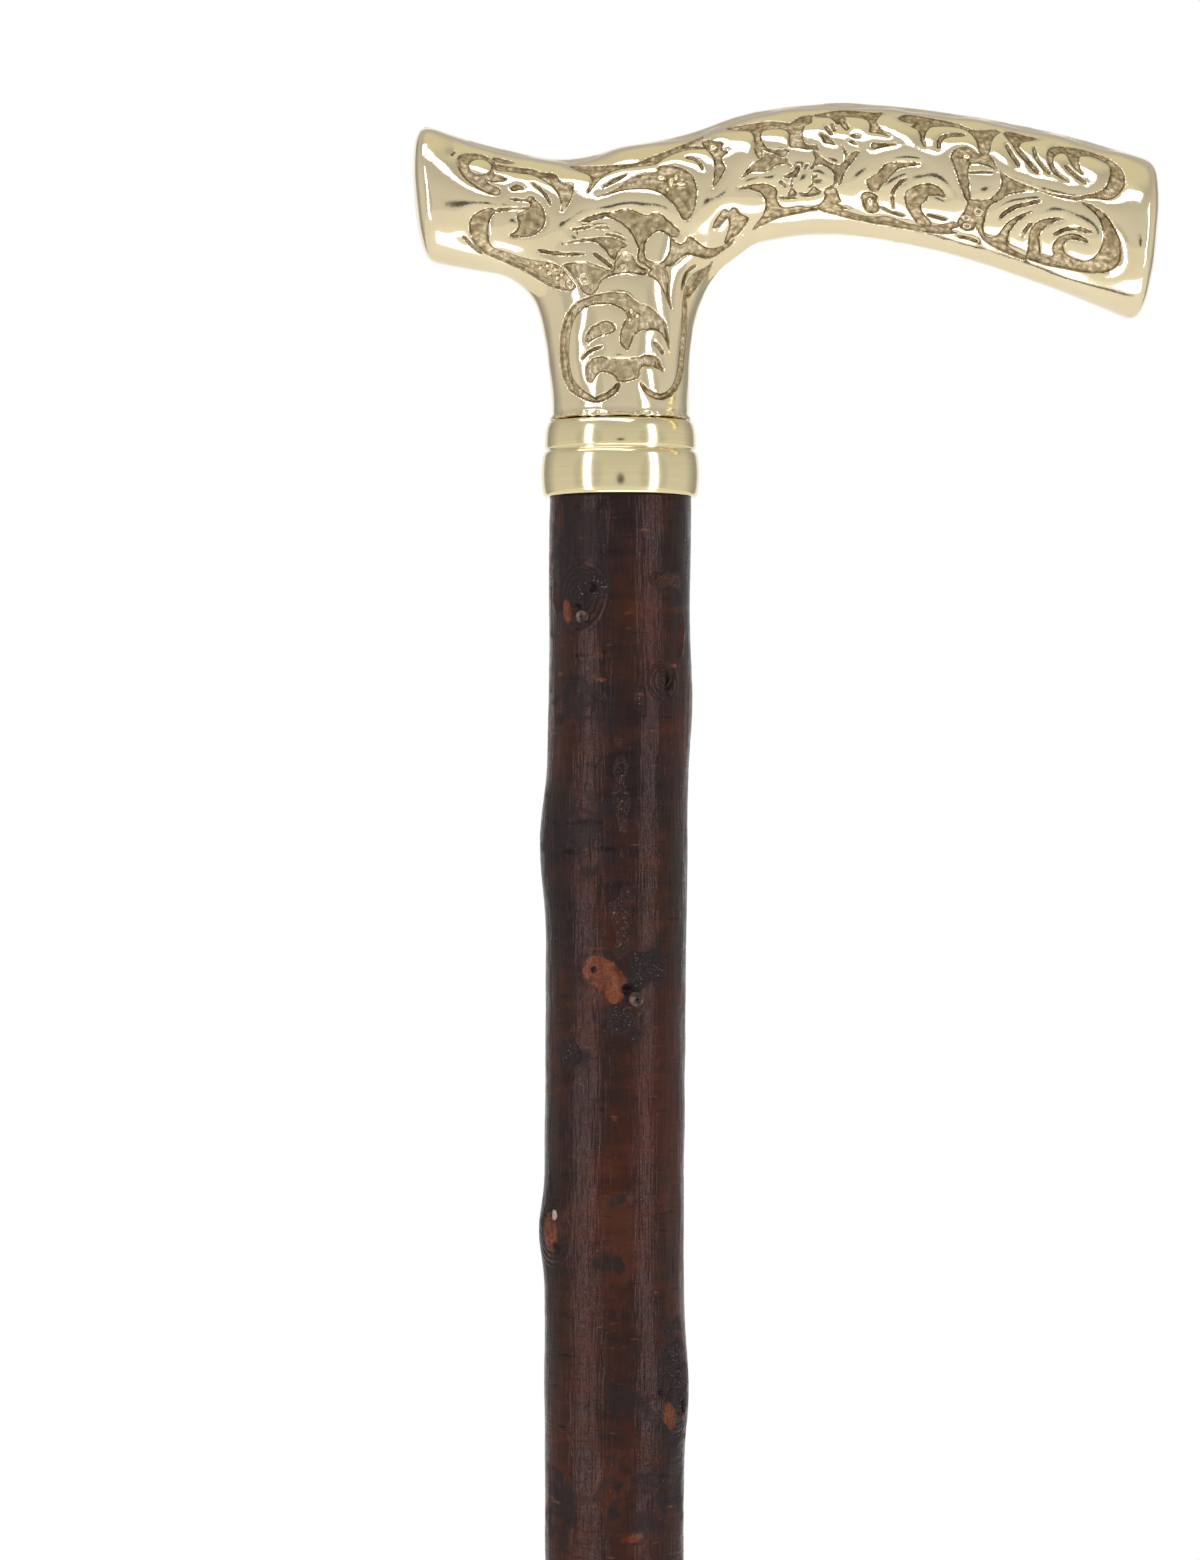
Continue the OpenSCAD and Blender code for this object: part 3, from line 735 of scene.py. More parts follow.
def plumped(mesh, over, reach, rounds):
    """Height between 0 on the relief's edges and 1 far from them, smooth over every leaf."""
    places = vertex_places(mesh) / MM
    total = len(places)
    ends = np.empty(len(mesh.edges) * 2, dtype=np.int32)
    mesh.edges.foreach_get("vertices", ends)
    one, two = ends.reshape(-1, 2).T
    length = np.linalg.norm(places[one] - places[two], axis=1)
    count = np.bincount(ends, minlength=total)
    mean_length = (np.bincount(one, length, total) + np.bincount(two, length, total)) / count
    pull = (mean_length / (2 * reach)) ** 2
    height = 1 - np.exp(-over / reach)
    for _ in range(rounds):
        around = (np.bincount(one, height[two], total) + np.bincount(two, height[one], total)) / count
        height = np.minimum((around + pull) / (1 + pull), over / reach)
    return height


over = np.maximum(edge_mm, 0.0)
under = np.maximum(-edge_mm, 0.0)
leaf = plumped(handle_mesh, over, LEAF_REACH, LEAF_ROUNDS)
print("leaves rise to", round(leaf.max(), 2))

# %% [markdown]
# The depth follows from that: leaves sink towards their edges, a steep wall drops to the ground, and the
# ground is pebbled from the punch and from casting sand. Two attributes keep the ground and its patina for
# the finish: the patina is darker at the foot of each wall as painted shade, and lighter on the pebble tops,
# partly from wear and partly as a painted highlight.

# %% Depth of the relief
# Depths, sizes and reaches are in millimetres, and a pair says where a soft step starts and ends
GROUND_DEPTH = 1.3
GROUND_EDGE = (-0.09, 0.03)
GRAINY = 0.02
WALL_WIDTH = 0.3
PILLOW = 0.9
PEBBLE = 0.2
PEBBLE_SIZE = 0.8
PEBBLE_FALL = 1.3
PEBBLE_STEP = (0.1, 0.4)
LUMP = 0.18
LUMP_SIZE = 1.7
BEAD_TOP = 0.35
HAND_FINISH = 0.15
HAND_FINISH_SIZE = 5.0
HAND_FINISH_REACH = 2.5
RUBBED_RISE = 0.25
RUBBED_FLAT = 0.55


def pebbles_at(places, size):
    """Round pebbles of about the given size: 1 on their tops and 0 between them."""
    return np.array([max(0.0, 1 - PEBBLE_FALL * noise.voronoi(Vector(p) / size)[0][0]) for p in places])


handle_places = vertex_places(handle_mesh)
handle_normals = vertex_normals(handle_mesh)
ground = ease(*GROUND_EDGE, -edge_mm) * shows
pebble = np.zeros(len(handle_places))
lump = np.zeros(len(handle_places))
grainy = np.nonzero(ground > GRAINY)[0]
pebble[grainy] = pebbles_at(handle_places[grainy], PEBBLE_SIZE * MM)
lump[grainy] = noise_at(handle_places[grainy], LUMP_SIZE * MM, 2)
wall = ease(0.0, WALL_WIDTH, under) * (1 - RUBBED_RISE * rubbed)
pillow = PILLOW * (1 - RUBBED_FLAT * rubbed)
depth = pillow * (1 - leaf) + (GROUND_DEPTH - pillow) * wall
depth -= (PEBBLE * pebble + LUMP * lump) * ease(*PEBBLE_STEP, under)
bead_depth = GROUND_DEPTH + (BEAD_TOP - GROUND_DEPTH) * bead
depth = np.where(bead > 0, np.minimum(depth, bead_depth), depth) * shows
worked = np.exp(-over / HAND_FINISH_REACH) * (shows > 0)
depth += HAND_FINISH * noise_at(handle_places, HAND_FINISH_SIZE * MM, 6) * worked
print("relief from", round(depth.min(), 2), "to", round(depth.max(), 2), "mm deep")

# %% [markdown]
# The neck's foot is left as it came from the sand: its last millimetre is speckled, lies a little proud
# and flares out to meet the collar. That can be done with the same depth, and the flare is a push from
# the axis.

# %% Chase the relief and the neck's foot into the skin
NECK_R = 11.2
CAST_EDGE = 0.18
CAST_LIP = 0.3
CAST_BAND = (0.3, 1.3)
CAST_WALL = 0.7
SPECKLE_SIZE = 0.8
FOOT_FLARE = 0.35
FOOT_HIGH = 0.8
FOOT_RIM = 1.0

height_up = (handle_places[:, 2] - COLLAR_TOP_Z) / MM
cast_edge = (1 - ease(*CAST_BAND, height_up)) * (np.abs(handle_normals[:, 2]) < CAST_WALL)
speckle = noise_at(handle_places, SPECKLE_SIZE * MM, 7)
depth += (CAST_EDGE * speckle - CAST_LIP) * cast_edge
chased = handle_places - handle_normals * depth[:, None] * MM
out_from_axis = np.hypot(chased[:, 0], chased[:, 1])
flared = (NECK_R + FOOT_FLARE * (1 - ease(0.0, FOOT_HIGH, height_up))) * MM
at_foot = (height_up < FOOT_HIGH) & (out_from_axis > (NECK_R - FOOT_RIM) * MM)
stretch = np.where(at_foot, np.maximum(1.0, flared / np.maximum(out_from_axis, MM)), 1.0)
chased[:, :2] *= stretch[:, None]
put_places(handle_mesh, chased)
print(np.count_nonzero(at_foot), "vertices flare out at the neck's foot")

# %% Keep the ground, and its patina with painted shade, for the finish
RUBBED_SHINE = 0.1
RUBBED_LIGHT = 0.05
BEAD_SHINE = (0.15, 0.6)
PAINTED_SHADE_EDGE = (-0.15, 0.4)
SHADE_LOW = 0.45
SHADE_HIGH = 0.55
CAST_GROUND = 0.6
CAST_SHADE = 0.5
CAST_START = 0.05

ground *= 1 - ease(*BEAD_SHINE, bead)
ground *= 1 - RUBBED_SHINE * rubbed
# Painted shade darkens the patina at the walls; pebble tops are lighter from wear and a painted highlight
patina_and_painted_shade = ease(*PAINTED_SHADE_EDGE, under) * (SHADE_LOW + SHADE_HIGH * pebble) + RUBBED_LIGHT * rubbed
put_attribute(handle_mesh, "ground", np.maximum(ground, CAST_GROUND * cast_edge))
put_attribute(handle_mesh, "patina_and_painted_shade", np.where(cast_edge > CAST_START, CAST_SHADE + speckle, patina_and_painted_shade))
print("ground covers", round(100 * float((ground > 0.5).mean())), "% of the skin's points")

# %% [markdown]
# Cast brass is polished where hands and buffing wheels reach, and keeps a matt brown skin in its sunk
# ground. One Principled shader does both: the attributes from the relief mix the colour and the
# roughness.

# %% Helpers for materials


def new_material(name):
    """Empty node material with its Principled shader."""
    material = bpy.data.materials.new(name)
    material.use_nodes = True
    return material, material.node_tree, material.node_tree.nodes["Principled BSDF"]


def add_node(tree, kind, **values):
    """Adds a node and sets its values and inputs by name."""
    node = tree.nodes.new(kind)
    for key, value in values.items():
        if hasattr(node, key):
            setattr(node, key, value)
        else:
            node.inputs[key.replace("_", " ")].default_value = value
    return node


def object_noise(tree, scale, detail=3.0, stretch=(1, 1, 1)):
    """Noise on Object coordinates, stretched along the axes."""
    place = add_node(tree, "ShaderNodeTexCoord")
    mapping = add_node(tree, "ShaderNodeMapping")
    mapping.inputs["Scale"].default_value = stretch
    grain = add_node(tree, "ShaderNodeTexNoise", Scale=scale, Detail=detail)
    tree.links.new(place.outputs["Object"], mapping.inputs["Vector"])
    tree.links.new(mapping.outputs["Vector"], grain.inputs["Vector"])
    return grain.outputs["Fac"]


def object_pebbles(tree, scale):
    """Round cells on Object coordinates: 0 in the middle of each, more towards its edge."""
    place = add_node(tree, "ShaderNodeTexCoord")
    cells = add_node(tree, "ShaderNodeTexVoronoi", Scale=scale)
    tree.links.new(place.outputs["Object"], cells.inputs["Vector"])
    return cells.outputs["Distance"]


def ramp(tree, factor, stops):
    """Colour ramp over a factor; each stop is a place and a colour."""
    node = add_node(tree, "ShaderNodeValToRGB")
    elements = node.color_ramp.elements
    while len(elements) < len(stops):
        elements.new(0.5)
    for element, (place, colour) in zip(elements, stops):
        element.position = place
        element.color = (*colour, 1.0)
    tree.links.new(factor, node.inputs["Fac"])
    return node.outputs["Color"]


def span(tree, factor, low, high, start=0.0, end=1.0):
    """Number that runs from low to high as the factor runs from start to end."""
    node = add_node(tree, "ShaderNodeMapRange")
    node.inputs["From Min"].default_value = start
    node.inputs["From Max"].default_value = end
    node.inputs["To Min"].default_value = low
    node.inputs["To Max"].default_value = high
    tree.links.new(factor, node.inputs["Value"])
    return node.outputs["Result"]


def blend(tree, factor, one, two):
    """Mixes two colours, each a socket or a plain colour."""
    node = add_node(tree, "ShaderNodeMix", data_type="RGBA")
    tree.links.new(factor, node.inputs["Factor"])
    for name, colour in (("A", one), ("B", two)):
        socket = [s for s in node.inputs if s.name == name and s.type == "RGBA"][0]
        if isinstance(colour, tuple):
            socket.default_value = (*colour, 1.0)
        else:
            tree.links.new(colour, socket)
    return [s for s in node.outputs if s.type == "RGBA"][0]


def times(tree, one, two):
    """Product of two sockets."""
    node = add_node(tree, "ShaderNodeMath", operation="MULTIPLY")
    tree.links.new(one, node.inputs[0])
    tree.links.new(two, node.inputs[1])
    return node.outputs[0]


def attribute(tree, name):
    """Number kept at the vertices."""
    return add_node(tree, "ShaderNodeAttribute", attribute_name=name).outputs["Fac"]


def add_bump(tree, shader, height, strength, distance):
    """Fine bump on a shader."""
    node = add_node(tree, "ShaderNodeBump", Strength=strength, Distance=distance)
    tree.links.new(height, node.inputs["Height"])
    tree.links.new(node.outputs["Normal"], shader.inputs["Normal"])


def add_up(tree, *terms):
    """Sum of sockets, each with its weight."""
    total = None
    for socket, weight in terms:
        node = add_node(tree, "ShaderNodeMath", operation="MULTIPLY_ADD")
        node.inputs[1].default_value = weight
        node.inputs[2].default_value = 0.0
        tree.links.new(socket, node.inputs[0])
        if total:
            tree.links.new(total, node.inputs[2])
        total = node.outputs[0]
    return total


# %% Cast brass
POLISH = [(0.3, (0.80, 0.68, 0.440)), (0.7, (0.86, 0.735, 0.482))]
PATINA = [(0.20, (0.155, 0.104, 0.044)), (0.45, (0.320, 0.233, 0.116)), (0.80, (0.640, 0.519, 0.308))]
POLISHED = 0.11
MATT = 0.42

cast_brass, tree, shader = new_material("cast_brass")
shader.inputs["Metallic"].default_value = 1.0
polish_tone = ramp(tree, object_noise(tree, 120.0), POLISH)
ground_here = attribute(tree, "ground")
pits = object_pebbles(tree, 1150.0)
sand = object_noise(tree, 1100.0, 6.0)
# The patina's tone carries painted shade: darkest at each wall's foot and towards the edges of the pebble
# cells
patina_with_painted_shade = ramp(tree, add_up(tree, (attribute(tree, "patina_and_painted_shade"), 0.6), (pits, -0.25), (sand, 0.65)), PATINA)
tree.links.new(blend(tree, ground_here, polish_tone, patina_with_painted_shade), shader.inputs["Base Color"])
tree.links.new(span(tree, ground_here, POLISHED, MATT), shader.inputs["Roughness"])
pitted = times(tree, ground_here, pits)
buffed = object_noise(tree, 2600.0, 2.0)
add_bump(tree, shader, add_up(tree, (pitted, -1.0), (buffed, 0.05)), strength=0.8, distance=0.2 * MM)
add_piece("brass_handle_relief", handle_mesh, cast_brass, "stick", "brass_handle")

# %% [markdown]
# The collar is turned on a lathe, so it is made as a lathe makes it: half of its outline is drawn once
# and spun round the axis. The band bulges like a barrel, a groove parts it from the ring, and every edge
# is broken.

# %% Turn the collar
TURN_STEPS = 160


def spin_round(bm, geom, steps):
    """Spins points and edges one full turn round the Z axis."""
    bmesh.ops.spin(
        bm, geom=geom, cent=(0, 0, 0), axis=(0, 0, 1), angle=math.tau, steps=steps, use_merge=True
    )


def turned(outline, name):
    """Spins a closed half outline of radius and height, in millimetres, round the Z axis."""
    bm = bmesh.new()
    verts = [bm.verts.new((r * MM, 0, z * MM)) for r, z in outline]
    edges = [bm.edges.new((a, b)) for a, b in zip(verts, verts[1:] + verts[:1])]
    spin_round(bm, verts + edges, TURN_STEPS)
    return mesh_from(bm, name)


# %% The collar's outline and finish
ARC = 14
BAND_H = 7.4
BAND_R = 12.65
BARREL = 0.35
EDGE_BREAK = 0.22
EDGE_SHARP = 14
BAND_GAP = 0.3
GROOVE = 0.5
GROOVE_LIP = 0.12
GROOVE_STEPS = (0.2, 0.5)
RING_R = 12.1
RING_H = 3.2
RING_LIP = 0.05
BORE_R = 5.05
CUP_R = 11.05
CUP_LIP = 0.4
CUP_DEPTH = 5.8
TURNED_TONES = [(0.3, (0.80, 0.685, 0.40)), (0.7, (0.84, 0.725, 0.43))]

foot = COLLAR_Z / MM
crest = COLLAR_TOP_Z / MM
band = []
for t in np.linspace(0, 1, 2 * ARC):
    out = abs(2 * t - 1)
    band.append((BAND_R - BARREL * out ** 2 - EDGE_BREAK * out ** EDGE_SHARP, foot + t * (BAND_H - BAND_GAP)))
groove = [
    (RING_R - GROOVE, foot + BAND_H),
    (RING_R - GROOVE_LIP, foot + BAND_H + GROOVE_STEPS[0]),
    (RING_R, foot + BAND_H + GROOVE_STEPS[1]),
]
ring = [
    (RING_R - (RING_R - NECK_R - RING_LIP) * (1 - math.cos(a)), crest - RING_H * (1 - math.sin(a)))
    for a in np.linspace(0, math.pi / 2, ARC)
]
cup = [(BORE_R, crest), (BORE_R, foot + CUP_DEPTH), (CUP_R, foot + CUP_DEPTH)]
rim = [(CUP_R, foot), (CUP_R + CUP_LIP, foot)]
collar_mesh = turned(rim + band + groove + ring + cup, "collar")

turned_brass, tree, shader = new_material("turned_brass")
shader.inputs["Metallic"].default_value = 1.0
lathe_lines = object_noise(tree, 40.0, 4.0, stretch=(1, 1, 90))
tree.links.new(ramp(tree, lathe_lines, TURNED_TONES), shader.inputs["Base Color"])
tree.links.new(span(tree, object_noise(tree, 300.0), 0.12, 0.18), shader.inputs["Roughness"])
add_bump(tree, shader, lathe_lines, strength=0.015, distance=0.1 * MM)
add_piece("turned_collar", collar_mesh, turned_brass, "stick", "collar")

# %% [markdown]
# The shaft is one natural stick. It is spun from an upright line of points, dense in the upper part that
# a walker sees most, and then every ring is moved: tapered, bowed, fluted and swollen at the knots where
# twigs grew.

# %% Spin the shaft's skin
SEAT_TOP = 47.5
SEAT_R = 9.5
SPIGOT_R = 11.0
TIP_Z = 13.5
SPIN_R = 10.0
FINE_LENGTH = 180.0
FINE_STEP = 0.42
COARSE_STEP = 3.0
BARK_STEPS = 150

fine = np.arange(foot, foot - FINE_LENGTH, -FINE_STEP)
coarse_length = foot - FINE_LENGTH - SEAT_TOP
coarse = np.linspace(foot - FINE_LENGTH, SEAT_TOP, int(coarse_length / COARSE_STEP))
heights = np.concatenate([fine, coarse])

bm = bmesh.new()
line = [bm.verts.new((SPIN_R * MM, 0, z * MM)) for z in heights]
edges = [bm.edges.new(pair) for pair in zip(line, line[1:])]
spin_round(bm, line + edges, BARK_STEPS)
rims = [e for e in bm.edges if e.is_boundary]
half_way = (foot + SEAT_TOP) / 2 * MM
top_rim = [e for e in rims if e.verts[0].co.z > half_way]
low_rim = [e for e in rims if e.verts[0].co.z < half_way]
print("shaft skin:", len(bm.verts), "vertices in", len(heights), "rings")

# %% [markdown]
# The turned ends are extruded from the open rims: a spigot that fills the collar's cup and a round tip
# for the ferrule.

# %% Turned ends of the shaft


def turn_end(bm, rim, radius, low, high):
    """Steps a rim in to a radius and extrudes it to a closed cylinder."""
    loop = rim
    for r, z in ((radius, low), (radius, high)):
        made = bmesh.ops.extrude_edge_only(bm, edges=loop)["geom"]
        verts = [g for g in made if isinstance(g, bmesh.types.BMVert)]
        loop = [g for g in made if isinstance(g, bmesh.types.BMEdge) and g.is_boundary]
        for v in verts:
            direction = Vector((v.co.x, v.co.y, 0)).normalized()
            v.co = direction * r * MM + Vector((0, 0, z * MM))
    bmesh.ops.contextual_create(bm, geom=loop)


turn_end(bm, top_rim, SPIGOT_R, foot, foot + CUP_DEPTH)
turn_end(bm, low_rim, SEAT_R, SEAT_TOP, TIP_Z)
shaft_mesh = mesh_from(bm, "shaft")
print("shaft with its turned ends:", len(shaft_mesh.polygons), "faces")

# %% [markdown]
# The form of the stick is the same as in the construction model: a slow bow and wave, a taper, a fluted
# section and knots. On top of it come the bark's own marks, which only show close by.

# %% The stick's form
TOP_R = 11.3
LOW_R = 10.3
BOW = 1.6
BOW_ASIDE = 0.6
BOW_TURN = 250
WAVE = 0.7
WAVE_TURN = 900
WAVE_ASIDE_TURN = 760
FLUTE = 0.16
# Each set of flutes has its number, its twist in degrees along the stick and its share of the depth
FLUTES = [(3, 200, 1.0), (5, -420, 0.6)]
END_FADE = 8
# Each knot has its depth below the collar, its turn, its rise, its half length and its half width in degrees
KNOTS = [
    (16, 226, 0.55, 5.5, 26),
    (29.5, 306, 0.35, 3, 16),
    (32, 2, 0.55, 7, 30),
    (55.5, 182, 1.15, 9, 36),
    (77, 262, 0.45, 5, 22),
    (117, 194, 1.05, 5.5, 22),
    (142, 335, 1.1, 9, 36),
    (166, 280, 0.3, 5, 20),
]
KNOTS_SEEN = len(KNOTS)
LOWER_START = 190
LOWER_PITCH = 37
LOWER_WANDER = 6
LOWER_TURN = 137
LOWER_FIRST_TURN = 40
LOWER_RISE = 0.85
LOWER_LENGTH = 8
LOWER_WIDTH = 28
BARK_LENGTH = foot - SEAT_TOP
for i in range(int((BARK_LENGTH - LOWER_START) // LOWER_PITCH)):
    below = LOWER_START + i * LOWER_PITCH + LOWER_WANDER * math.sin(math.radians(150 * i))
    rise = LOWER_RISE + 0.25 * math.sin(math.radians(95 * i))
    half_length = LOWER_LENGTH * (1 + 0.2 * math.sin(math.radians(70 * i)))
    KNOTS.append((below, LOWER_FIRST_TURN + i * LOWER_TURN, rise, half_length, LOWER_WIDTH))
print(KNOTS_SEEN, "knots in the photograph and", len(KNOTS) - KNOTS_SEEN, "below it")


def stick_middle(z):
    """Middle of the stick at heights in millimetres."""
    t = (z - SEAT_TOP) / BARK_LENGTH
    swell = np.sin(np.pi * t)
    x = -swell * (BOW + WAVE * np.sin(np.radians(WAVE_TURN * t)))
    bow_aside = BOW * BOW_ASIDE * np.sin(np.radians(BOW_TURN * t))
    y = swell * (bow_aside + WAVE * np.cos(np.radians(WAVE_ASIDE_TURN * t)))
    return x, y


def turn_from(angle, middle):
    """Signed angle in degrees from a middle direction."""
    return (angle - middle + 180) % 360 - 180


def stick_radius(angle, z):
    """Radius of the stick in millimetres at angles in degrees and heights."""
    t = (z - SEAT_TOP) / BARK_LENGTH
    ends = np.minimum(1, np.minimum(END_FADE * t, END_FADE * (1 - t)))
    radius = LOW_R + (TOP_R - LOW_R) * t
    fluted = sum(share * np.cos(np.radians(number * angle + twist * t)) for number, twist, share in FLUTES)
    radius += ends * FLUTE * fluted
    for depth_below, turn, rise, half_length, half_width in KNOTS:
        along = ((foot - z - depth_below) / half_length) ** 2
        round_it = (turn_from(angle, turn) / half_width) ** 2
        radius += rise * np.exp(-along - round_it)
    return radius


# %% Move the skin to the stick's form
shaft_places = vertex_places(shaft_mesh) / MM
flat_r = np.hypot(shaft_places[:, 0], shaft_places[:, 1])
between_ends = (shaft_places[:, 2] > SEAT_TOP - 0.1) & (shaft_places[:, 2] < foot + 0.1)
skin = (np.abs(flat_r - SPIN_R) < 0.05) & between_ends
angle = np.degrees(np.arctan2(shaft_places[skin, 1], shaft_places[skin, 0]))
z = shaft_places[skin, 2]
form_r = stick_radius(angle, z)
middle_x, middle_y = stick_middle(z)
print("bark radius from", round(form_r.min(), 2), "to", round(form_r.max(), 2), "mm")

# %% [markdown]
# Bark marks are measured on the unrolled surface: degrees round the stick from its front line and
# millimetres below the collar. Each mark is read off the photograph in pixels, and the stick's own form
# tells where it lies.

# %% Coloured marks read off the photograph
# Each mark has its place across and down, its half width and half height in pixels, and its lean in degrees
# A sixth number is the sharpness of its edge
LIPPED_SCARS = 6
SCARS = [
    (596, 966, 14, 13, 0, 2.0),
    (608, 975, 15.5, 21, 45, 2.0),
    (614, 990, 9.5, 10, 0, 2.0),
    (551, 1229, 8.5, 21.5, 4, 1.5),
    (669, 1409, 8, 14.5, 22, 0.8),
    (682, 1412, 3, 5, 0, 1.0),
    (567.5, 613, 6, 11, 0, 0.8),
    (632, 1527, 10, 4, 8, 0.6),
    (673, 667, 6, 2, 0, 0.8),
    (601, 681, 6, 2, 0, 0.6),
]
RUSTS = [
    (672, 583, 20, 9, 0),
    (682, 632, 10, 24, -18),
    (676, 611, 10, 4, 0),
    (571, 615, 12, 16, 0),
    (600, 655, 16, 6, 0),
    (606, 985, 26, 28, 0),
    (672, 1405, 14, 24, 0),
    (552, 1232, 14, 26, 0),
    (632, 1527, 18, 8, 0),
    (622, 1240, 26, 60, 0),
    (612, 1480, 30, 40, 0),
]
# Most black marks lie over the pits and cracks listed below: there the black is painted shade in the hollow
BLACKS = [
    (667.5, 683, 3.2, 12, 8),
    (592, 591, 4, 5, 0),
    (578, 608, 5, 4, -30),
    (594, 967, 3.5, 3.5, 0),
    (627, 986, 6, 6, 40),
    (682, 1401, 3.5, 8, 10),
    (661, 1385, 3, 3, 0),
    (558, 1244, 4, 7, 20),
    (544, 1217, 4, 8, 0),
    (676, 1430, 8, 4, 20),
    (583, 822, 24, 3.2, 0),
    (572, 851, 17, 2.6, 0),
    (602, 848, 14, 2.6, 0),
    (590, 765, 10, 2.6, 0),
    (582, 657, 12, 2.4, 0),
]
PALE_BITS = [(555.5, 1211, 3, 6, 8)]
DARK_PATCHES = [
    (572, 592, 28, 34, 0),
    (640, 968, 30, 19, 10, 0.75),
    (622, 1019, 22, 19, 0, 0.75),
    (626, 988, 6, 8, 0),
    (548, 1193, 12, 22, 0),
    (676, 1385, 22, 62, 0),
    (630, 1393, 26, 14, -10, 0.6),
    (570, 832, 34, 26, 0, 0.6),
    (582, 700, 34, 20, 0, 0.6),
    (572, 1052, 16, 12, 0, 0.7),
    (609, 1257, 9, 6, 0, 0.25),
    (575, 545, 26, 55, 0, 0.5),
    (621, 1193, 8, 4.5, 35, 0.5),
    (660, 1490, 40, 22, 0, 0.5),
    (560, 1500, 20, 26, 0, 0.5),
]
GRITS = [
    (640, 968, 24, 16, 10),
    (622, 1019, 18, 16, 0),
    (572, 1050, 10, 12, 0),
    (678, 1380, 16, 50, 0),
    (548, 1196, 10, 18, 0),
    (586, 590, 16, 12, 0),
    (668, 583, 16, 8, 0),
    (622, 800, 6, 46, 3),
    (622, 922, 8, 36, 0),
    (640, 700, 5, 20, 0),
]
print(len(SCARS), "scars,", len(RUSTS), "rusty,", len(BLACKS), "black and", len(DARK_PATCHES), "dark marks")

# %% Raised and sunk marks read off the photograph
# Here the sixth number is the depth or the rise in millimetres
PITS = [
    (668, 686, 4.5, 13, 8, 1.0),
    (593, 966, 4, 4, 0, 0.45),
    (626, 987, 6, 6, 30, 0.8),
    (682, 1401, 4, 8, 10, 0.7),
    (592, 591, 4, 5, 0, 0.6),
    (661, 1385, 4, 4, 0, 0.5),
    (577, 611, 6, 5, -30, 0.6),
]
LUMPS = [
    (658, 683, 7, 16, 0, 0.8),
    (674, 682, 4, 15, 6, 0.5),
    (583, 619, 9, 10, 0, 0.35),
    (622, 1193, 9, 6, 35, 0.4),
    (555, 600, 3, 18, 12, 0.3),
    (681, 640, 4, 24, -10, 0.35),
    (634, 1000, 10, 9, 0, 0.35),
    (551, 1230, 10, 23, 4, 0.3),
    (632, 1527, 9, 4, 8, 0.25),
]
# Growth rings round a knot have a place across and down, and how far they reach in pixels
RINGS = [
    (580, 598, 32),
    (661, 682, 17),
    (678, 1402, 26),
    (551, 1232, 28),
]
# Cracks have a place down the stick, and where they start and end across it
CRACKS = [
    (812, 540, 606),
    (822, 545, 590),
    (850, 538, 612),
    (660, 570, 602),
    (679, 556, 600),
    (1046, 606, 632),
    (1025, 570, 600),
    (700, 585, 615),
]
print(len(PITS), "pits,", len(LUMPS), "lumps,", len(RINGS), "ringed knots and", len(CRACKS), "cracks")

# %% Helpers for places on the bark
SIDE_LIMIT = 0.96


def front_turn(across, below):
    """Degrees from the front line to a place seen across the photograph, at a depth below the collar."""
    at = np.array([foot - below])
    reach = (across - AXIS_PX) * PIXEL / MM - stick_middle(at)[0][0]
    turn = 0.0
    for _ in range(4):
        share = reach / stick_radius(np.array([turn - 90.0]), at)[0]
        turn = math.degrees(math.asin(np.clip(share, -SIDE_LIMIT, SIDE_LIMIT)))
    return turn


def offsets(across, down):
    """Pixels round and along the stick from a place in the photograph to every bark vertex."""
    below = (down - COLLAR_FOOT_PX) * PIXEL / MM
    turn = turn_from(angle, front_turn(across, below) - 90)
    return np.radians(turn) * form_r * MM / PIXEL, (foot - z - below) * MM / PIXEL


def oval(across, down, half_width, half_height, lean):
    """Distance from the middle of an oval mark: 1 on its edge."""
    right, low = offsets(across, down)
    c, s = math.cos(math.radians(lean)), math.sin(math.radians(lean))
    return np.hypot((right * c - low * s) / half_width, (right * s + low * c) / half_height)


def field(marks):
    """Cone over the nearest mark: 0.5 on its edge, so a material can draw a ragged edge there."""
    best = np.zeros(len(z))
    for mark in marks:
        sharp = mark[5] if len(mark) > 5 else 1.0
        best = np.maximum(best, np.clip(0.5 + 0.5 * sharp * (1 - oval(*mark[:5])), 0, 1))
    return best


def lip(away, middle, width):
    """Low ridge round a mark."""
    return np.exp(-((away - middle) / width) ** 2)


# %% [markdown]
# Pits, lips and lumps move the surface itself, so they catch the light from every side. The bark's fine
# wrinkles follow the grain, and cracks run across it where the stick was bent.

# %% Bark marks in relief
SCAR_LIP = 0.12
PIT_LIP = 0.15
KNOT_LIP = 0.18
CRACK_DEPTH = 0.16
CRACK_WIDTH = 2.0
CRACK_WANDER = 2.5
CRACK_WAVE = 7.0

scar = field(SCARS)
pale = field(PALE_BITS)
dark = field(DARK_PATCHES)
rust = field(RUSTS)
black = field(BLACKS)
grit = field(GRITS)
relief = np.zeros(len(z))
for mark in SCARS[:LIPPED_SCARS]:
    relief += SCAR_LIP * lip(oval(*mark[:5]), 1.15, 0.2)
for *mark, deep in PITS:
    away = oval(*mark)
    relief += -deep * (1 - ease(0.3, 1.1, away)) + PIT_LIP * lip(away, 1.35, 0.3)
for *mark, rise in LUMPS:
    relief += rise * (1 - ease(0.4, 1.2, oval(*mark)))
knot = np.zeros(len(z))
for across, down, reach in RINGS:
    right, low = offsets(across, down)
    knot = np.maximum(knot, np.clip(1 - np.hypot(right, low * 0.8) / reach, 0, 1))
for down, start, end in CRACKS:
    right, low = offsets((start + end) / 2, down)
    along = 1 - ease(0.7, 1.0, np.abs(right) / ((end - start) / 2))
    wander = low + CRACK_WANDER * np.sin(right / CRACK_WAVE + down)
    relief -= CRACK_DEPTH * lip(wander, 0.0, CRACK_WIDTH) * along
